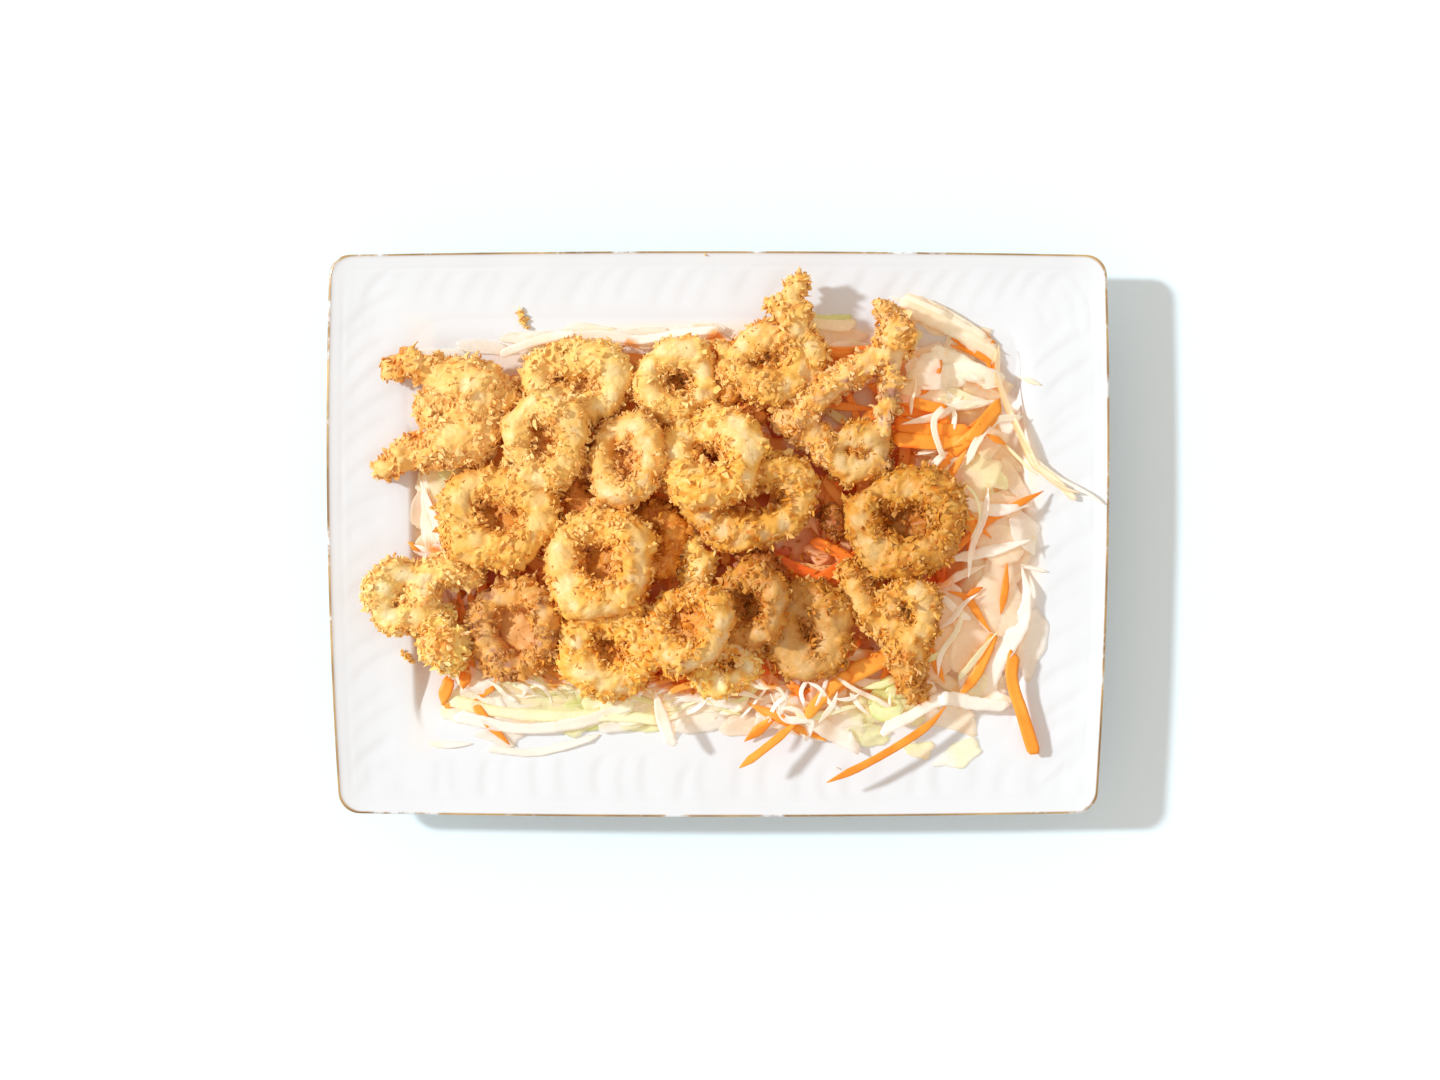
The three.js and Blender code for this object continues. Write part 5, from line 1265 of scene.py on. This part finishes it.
def leaf(pile, x, y, rx, ry, turn, tint, rng, cap=None):
    """One broad limp leaf as a closed thin shell laid on the pile, with a frilled edge."""
    na, nr = int(np.clip(2.0 * (rx + ry), 24, 46)), 5
    th = np.arange(na) * TAU / na
    q = rng.uniform(0, 6, 8)
    # outline: straight cuts that meet in corners, a little torn
    cuts = int(rng.integers(4, 7))
    way = (np.arange(cuts) + rng.uniform(-0.3, 0.3, cuts)) * TAU / cuts + q[0]
    face = np.maximum(np.cos(th[:, None] - way[None]), 0) / rng.uniform(0.74, 1.0, cuts)[None]
    edge = (face ** 9).sum(1) ** (-1 / 9)
    edge = np.minimum(edge, 1.35) * (1 + 0.07 * np.sin(4 * th + q[3]) + 0.035 * np.sin(9 * th + q[1]) + 0.012 * rng.normal(size=na))
    f = np.linspace(0, 1, nr + 1)[1:]
    R, TH = np.meshgrid(f, th, indexing="ij")
    u, v = rx * R * edge[None] * np.cos(TH), ry * R * edge[None] * np.sin(TH)
    a = math.radians(turn)
    X, Y = x + u * math.cos(a) - v * math.sin(a), y + u * math.sin(a) + v * math.cos(a)
    z0 = pile.sheet(X.ravel(), Y.ravel(), 3 if min(rx, ry) < 7 else 6).reshape(X.shape)
    small = min(rx, ry)
    frill = min(0.035 * small, 0.5) * R ** 4 * (np.sin(5 * TH + q[4]) + 0.6 * np.sin(8 * TH + q[5])) + 0.010 * small * np.sin(u / 4.1 + q[6]) * np.sin(v / 3.4 + q[7])
    Z = np.minimum(z0, ceiling(X, Y) - 0.4) + 0.20 + np.maximum(frill, -0.15)
    if cap is not None and np.any(Z > cap(X, Y) + 0.6):
        return None
    thick = 0.34
    top = np.stack([X, Y, Z + thick / 2], -1).reshape(-1, 3)
    low = np.stack([X, Y, Z - thick / 2], -1).reshape(-1, 3)
    zc = Z[0].mean()
    V = np.concatenate([top, low, [[x, y, zc + thick / 2], [x, y, zc - thick / 2]]])
    n = len(top)
    F = triangles(grid_faces(nr, na, False, True))
    j = np.arange(na)
    k = (j + 1) % na
    rim = np.stack([(nr - 1) * na + j, (nr - 1) * na + k, (nr - 1) * na + k + n, (nr - 1) * na + j + n], -1)
    fans = [np.stack([np.full(na, 2 * n), k, j], -1), np.stack([np.full(na, 2 * n + 1), j + n, k + n], -1)]
    F = np.concatenate([F, F[:, ::-1] + n, triangles(rim)[:, ::-1], fans[0][:, ::-1], fans[1][:, ::-1]])
    pile.cover(X.ravel(), Y.ravel(), Z.ravel() + thick / 2)
    for m in (0.33, 0.66):
        pile.cover((X[:-1] * (1 - m) + X[1:] * m).ravel(), (Y[:-1] * (1 - m) + Y[1:] * m).ravel(), (Z[:-1] * (1 - m) + Z[1:] * m).ravel() + thick / 2)
    one, two = CABBAGE_TINTS[tint]
    vein = np.abs(np.sin(np.arctan2(v, u + 0.6 * rx) * 7 + 1.5 * np.sin(u / 5)))
    c = mix(one, two, np.clip(0.35 + 0.45 * noise(top, 7, 74) + 0.25 * (R.ravel() - 0.5), 0, 1))
    c = mix(c, CABBAGE_TINTS[int(rng.choice([0, 2, 5]))][0], 0.7 * smoothstep(noise(top, 12, int(rng.integers(100, 900))), 0.0, 0.5) * (tint != 3))
    c = mix(c, (0.96, 0.92, 0.80), 0.45 * np.exp(-(vein.ravel() / 0.22) ** 2))
    c = np.clip(c * rng.uniform(0.97, 1.03), 0, 0.97)
    return V, F, np.concatenate([c, c, [c[0], c[0]]])


def packed_core(painted_shade_and_warmth):
    """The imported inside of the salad, as one closed block with a shredded top."""
    X, Y = np.meshgrid(np.arange(-127, 136, 2.5), np.arange(-82, 90, 2.5), indexing="ij")
    Z = core_top(X, Y)
    keep = (Z > -10) & (X < 127)    # past this the well's wall rises and the block would come out under the platter
    top = np.stack([X, Y, np.where(keep, np.maximum(Z, 15.0), 15.0)], -1).reshape(-1, 3)
    low = np.stack([X, Y, np.full_like(X, 14.6)], -1).reshape(-1, 3)
    F = grid_faces(*X.shape, False, False)
    F = F[keep.ravel()[F].all(1)]
    # walls along the boundary of the squares that are kept
    e = np.concatenate([F[:, [0, 1]], F[:, [1, 2]], F[:, [2, 3]], F[:, [3, 0]]])
    n = len(top)
    edge = e[~np.isin(e[:, 0].astype(np.int64) * n + e[:, 1], e[:, 1].astype(np.int64) * n + e[:, 0])]
    walls = np.stack([edge[:, 1], edge[:, 0], edge[:, 0] + n, edge[:, 1] + n], -1)
    V = np.concatenate([top, low])
    quads = np.concatenate([F, F[:, ::-1] + n, walls])
    used, inverse = np.unique(quads, return_inverse=True)
    V, quads = V[used], inverse.reshape(quads.shape)
    quads = outward(V, quads)
    # the packed inside is peach, as painted warm shade bounced from the food; the orange patches are carrot
    tone = np.clip(0.5 + 0.5 * noise(V, 4.5, 63) + 0.3 * noise(V, 2.2, 64), 0, 1)
    col = mix((0.97, 0.70, 0.40), (0.97, 0.86, 0.64), tone)
    col = mix(col, (0.90, 0.30, 0.03), smoothstep(noise(V, 9, 65), 0.1, 0.35) * 0.85)
    ob = make("salad_core", V, [(quads, True)], painted_shade_and_warmth(V, col), material=SALAD)
    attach(ob, "root")
    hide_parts("salad_bed")


def under_heap(X, Y):
    """1 under the fried pieces, 0 away from them."""
    m, around = np.zeros(np.shape(X)), np.zeros(np.shape(X))
    for x, y, z, A, B, turn, *_ in RINGS.values():
        t = math.radians(turn)
        u, v = (X - x) * math.cos(t) + (Y - y) * math.sin(t), (Y - y) * math.cos(t) - (X - x) * math.sin(t)
        m = np.maximum(m, smoothstep(1 - np.hypot(u / (A + 1.5), v / (B + 1.5)), -0.04, 0.18))
        around = around + smoothstep(1 - np.hypot(u / (A + 12), v / (B + 12)), 0.0, 0.12)
    for limbs in LIMBS.values():
        for stations in limbs:
            for x, y, z, r in spline(stations, 3.0):
                m = np.maximum(m, smoothstep(r + 1.5 - np.hypot(X - x, Y - y), -1, 3))
    # the gaps inside the heap
    m = np.maximum(m, smoothstep(around, 1.3, 2.0))
    return np.maximum(m, 0.8 * smoothstep(np.hypot((X - 50) / 26, (Y - 2) / 26), 1.1, 0.8))


def salad():
    pile = Pile()
    X, Y = np.meshgrid(pile.X0 + np.arange(pile.NX), pile.Y0 + np.arange(pile.NY), indexing="ij")
    heap = under_heap(X, Y)

    def painted_shade_and_warmth(V, col):
        """Painted shade: darkens and warms the salad the deeper it lies under the shreds above it, and under and
        between the fried pieces, as painted shade and painted bounce light from the heap; also warms a patch to the
        upper right.
        """
        m = heap[pile.cell(V[:, 0], V[:, 1])]
        # painted shade: darker and warmer the deeper a point lies under the top of the pile
        deep = 0.7 * smoothstep(pile.under(V[:, 0], V[:, 1]) - V[:, 2], 0.8, 4.0)
        warmer_upper_right = 0.55 * smoothstep(V[:, 0], 48, 72) * smoothstep(V[:, 1], 8, 34) * (0.75 + 0.25 * noise(V, 16, 66))
        col = col * (1 - warmer_upper_right[:, None] * (1 - np.array([1.0, 0.92, 0.66])))
        # painted shade and painted warm bounce light under and between the fried pieces
        return col * (1 - deep[:, None] * (1 - np.array([1.0, 0.74, 0.46]))) * (1 - m[:, None] * (1 - np.array([0.93, 0.40, 0.08])))

    pieces = {"cabbage": [], "carrot": [], "leaf": []}
    rng = np.random.default_rng(77)

    def cap(x, y):
        return bed_top(x, y) + 0.8 - room * bare(x, y)

    room = 4.0

    def inside(x, y):
        return not (np.any(bed_s(x, y) > 1.0) or np.any((x < -95) & (y < -66)))

    def lay(kind, width, tint, pts, ends=None, limit=None):
        out = strand(pile, pts, width, kind, tint, rng, ends, limit)
        if out is not None:
            pieces[kind].append(out)
        return out is not None

    def scatter(kind, count, x0, x1, y0, y1, lean, spread, length, width, free=False):
        done = 0
        for _ in range(count * 4):
            if done >= count:
                break
            x, y = rng.uniform(x0, x1), rng.uniform(y0, y1)
            L, a = rng.uniform(*length), lean + rng.uniform(-spread, spread)
            bow = rng.normal(0, 0.10 if kind == "carrot" or free else 0.22) * L
            d, nrm = np.array([math.cos(a), math.sin(a)]), np.array([-math.sin(a), math.cos(a)])
            p = np.array([np.array([x, y]) + d * L * k + nrm * (bow * (1 - 4 * k * k) + (0 if kind == "carrot" else rng.normal(0, 0.05) * L)) for k in (-0.5, -0.2, 0.2, 0.5)])
            if not inside(p[:, 0], p[:, 1]):
                continue
            tint = 0 if kind == "carrot" else int(rng.choice([0, 2, 3, 4, 5], p=[.58, .24, .12, 0, .06] if free else [.5, .18, .05, .03, .24]))
            done += lay(kind, rng.uniform(*width), tint, [tuple(v) for v in p], limit=None if free else cap)

    def leaves(count, x0, x1, y0, y1, size):
        done = 0
        for _ in range(count * 4):
            if done >= count:
                break
            x, y, r = rng.uniform(x0, x1), rng.uniform(y0, y1), rng.uniform(*size)
            around = np.arange(8) * TAU / 8
            if not inside(x + 1.15 * r * np.cos(around), y + 1.15 * r * np.sin(around)):
                continue
            out = leaf(pile, x, y, r, r * rng.uniform(0.40, 0.8), rng.uniform(0, 180), int(rng.choice([0, 2, 5], p=[.4, .2, .4])), rng, cap)
            if out is not None:
                pieces["leaf"].append(out)
                done += 1

    leaves(18, -115, 90, -60, 84, (7, 13))
    scatter("cabbage", 60, -112, 85, -62, 82, 0, 3.14, (30, 75), (2.6, 6.5))
    scatter("carrot", 46, -105, 85, -62, 80, 0, 3.14, (22, 50), (2.8, 5.0))
    scatter("cabbage", 30, -104, 88, -82, -60, 0, 0.7, (30, 80), (2.4, 6.0))
    scatter("cabbage", 70, -112, 20, -82, -58, 0.2, 1.2, (16, 48), (1.6, 3.6))
    scatter("cabbage", 22, -90, 75, 74, 88, 0, 0.4, (30, 70), (2.4, 4.6))
    scatter("cabbage", 14, -124, -106, -35, 36, 1.57, 0.5, (20, 45), (2.6, 5.0))
    leaves(14, 80, 128, -72, 78, (13, 20))
    scatter("cabbage", 14, 78, 131, -76, 84, 1.2, 1.5, (28, 80), (4.0, 9.0))
    scatter("carrot", 30, 74, 124, -72, 76, 0.7, 1.2, (24, 55), (3.2, 6.0))
    scatter("carrot", 26, 64, 126, 12, 62, 0.1, 0.8, (22, 46), (4.0, 7.0))
    scatter("carrot", 12, 30, 84, -74, -56, 0.5, 0.6, (20, 40), (4.0, 6.5))
    scatter("carrot", 12, -120, -96, -52, -12, 1.4, 0.8, (18, 34), (4.0, 6.0))
    for row in LEAVES:
        out = leaf(pile, *row[:5], row[5], rng)
        pieces["leaf"].append(out)
    for row in STRANDS:
        lay(*row[:4], ends=row[4] if len(row) > 4 else None)
    for row in OVER:
        pieces["leaf"].append(leaf(pile, *row[:5], row[5], rng))
    scatter("cabbage", 44, -116, 18, -84, -58, 0.3, 1.0, (12, 32), (1.2, 2.8), free=True)
    scatter("cabbage", 12, 76, 131, -80, 86, 1.1, 1.2, (16, 40), (1.6, 3.6), free=True)
    scatter("cabbage", 14, 18, 80, -86, -62, 0.3, 1.2, (10, 30), (1.4, 3.4), free=True)
    packed_core(painted_shade_and_warmth)
    # the shreds under the heap take the shaded copy of the cabbage, with its painted glow
    for kind, name, mat, below in (("leaf", "cabbage_leaves", LEAF, False), ("cabbage", "cabbage_shreds", SHRED, False), ("carrot", "carrot_julienne", CARROT, None),
                                   ("leaf", "cabbage_leaves_under_heap", SHADED, True), ("cabbage", "cabbage_shreds_under_heap", SHADED, True)):
        V, F, C, at = [], [], [], 0
        for v, f, c in pieces[kind]:
            if below is not None and below != (heap[pile.cell(v[:, 0], v[:, 1])].mean() > 0.55):
                continue
            V.append(v)
            F.append(triangles(f) + at)
            C.append(c)
            at += len(v)
        V, C = np.concatenate(V), np.concatenate(C)
        ob = make(name, V, [(np.concatenate(F), True)], painted_shade_and_warmth(V, C), material=mat)
        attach(ob, "root")
        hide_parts("salad_bed")
    # crumbs that fell through the heap
    x, y = rng.uniform(-118, 98, 5200), rng.uniform(-70, 82, 5200)
    keep = rng.random(5200) < heap[pile.cell(x, y)] * 0.75
    x, y = x[keep], y[keep]
    size = rng.uniform(0.6, 1.5, len(x))
    heaped = np.clip(noise(np.stack([x, y, 0 * x], -1), 9, 91) + 0.35, 0, 1)
    fallen = np.stack([x, y, pile.under(x, y) + 0.3 * size + 3.0 * heaped * rng.random(len(x))], -1)
    return fallen, size


def loose_crumbs(fallen, sizes):
    rng = np.random.default_rng(5)
    at, size = [fallen], [sizes]
    for x, y, r in LOOSE_CRUMBS:
        n = max(int(r * 3), 2)
        a, d = rng.uniform(0, TAU, n), r * 0.6 * np.sqrt(rng.random(n))
        px, py = x + d * np.cos(a) * 0.7, y + d * np.sin(a)
        s = rng.uniform(1.1, 1.9, n) * min(1.0, 0.30 + r * 0.25)
        at.append(np.stack([px, py, plate_top(px, py) + s * rng.uniform(0.4, 1.3, n)], -1))
        size.append(s)
    at, size = np.concatenate(at), np.concatenate(size)
    V, F, who = shards(at, np.tile([0, 0, 1.0], (len(at), 1)), size, rng)
    col = mix(PEAK, CREAM, rng.random(len(at)))
    # the crumbs fallen into the heap are browner than the loose ones on the open platter, as painted shade
    col[:len(fallen)] = mix(BROWN, MID, rng.random(len(fallen)))
    col = col[who]
    ob = make("loose_crumbs", V, [(F, False)], col, material=CRUST)
    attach(ob, "root")


stage()
plate()
fallen = salad()
fried()
loose_crumbs(*fallen)
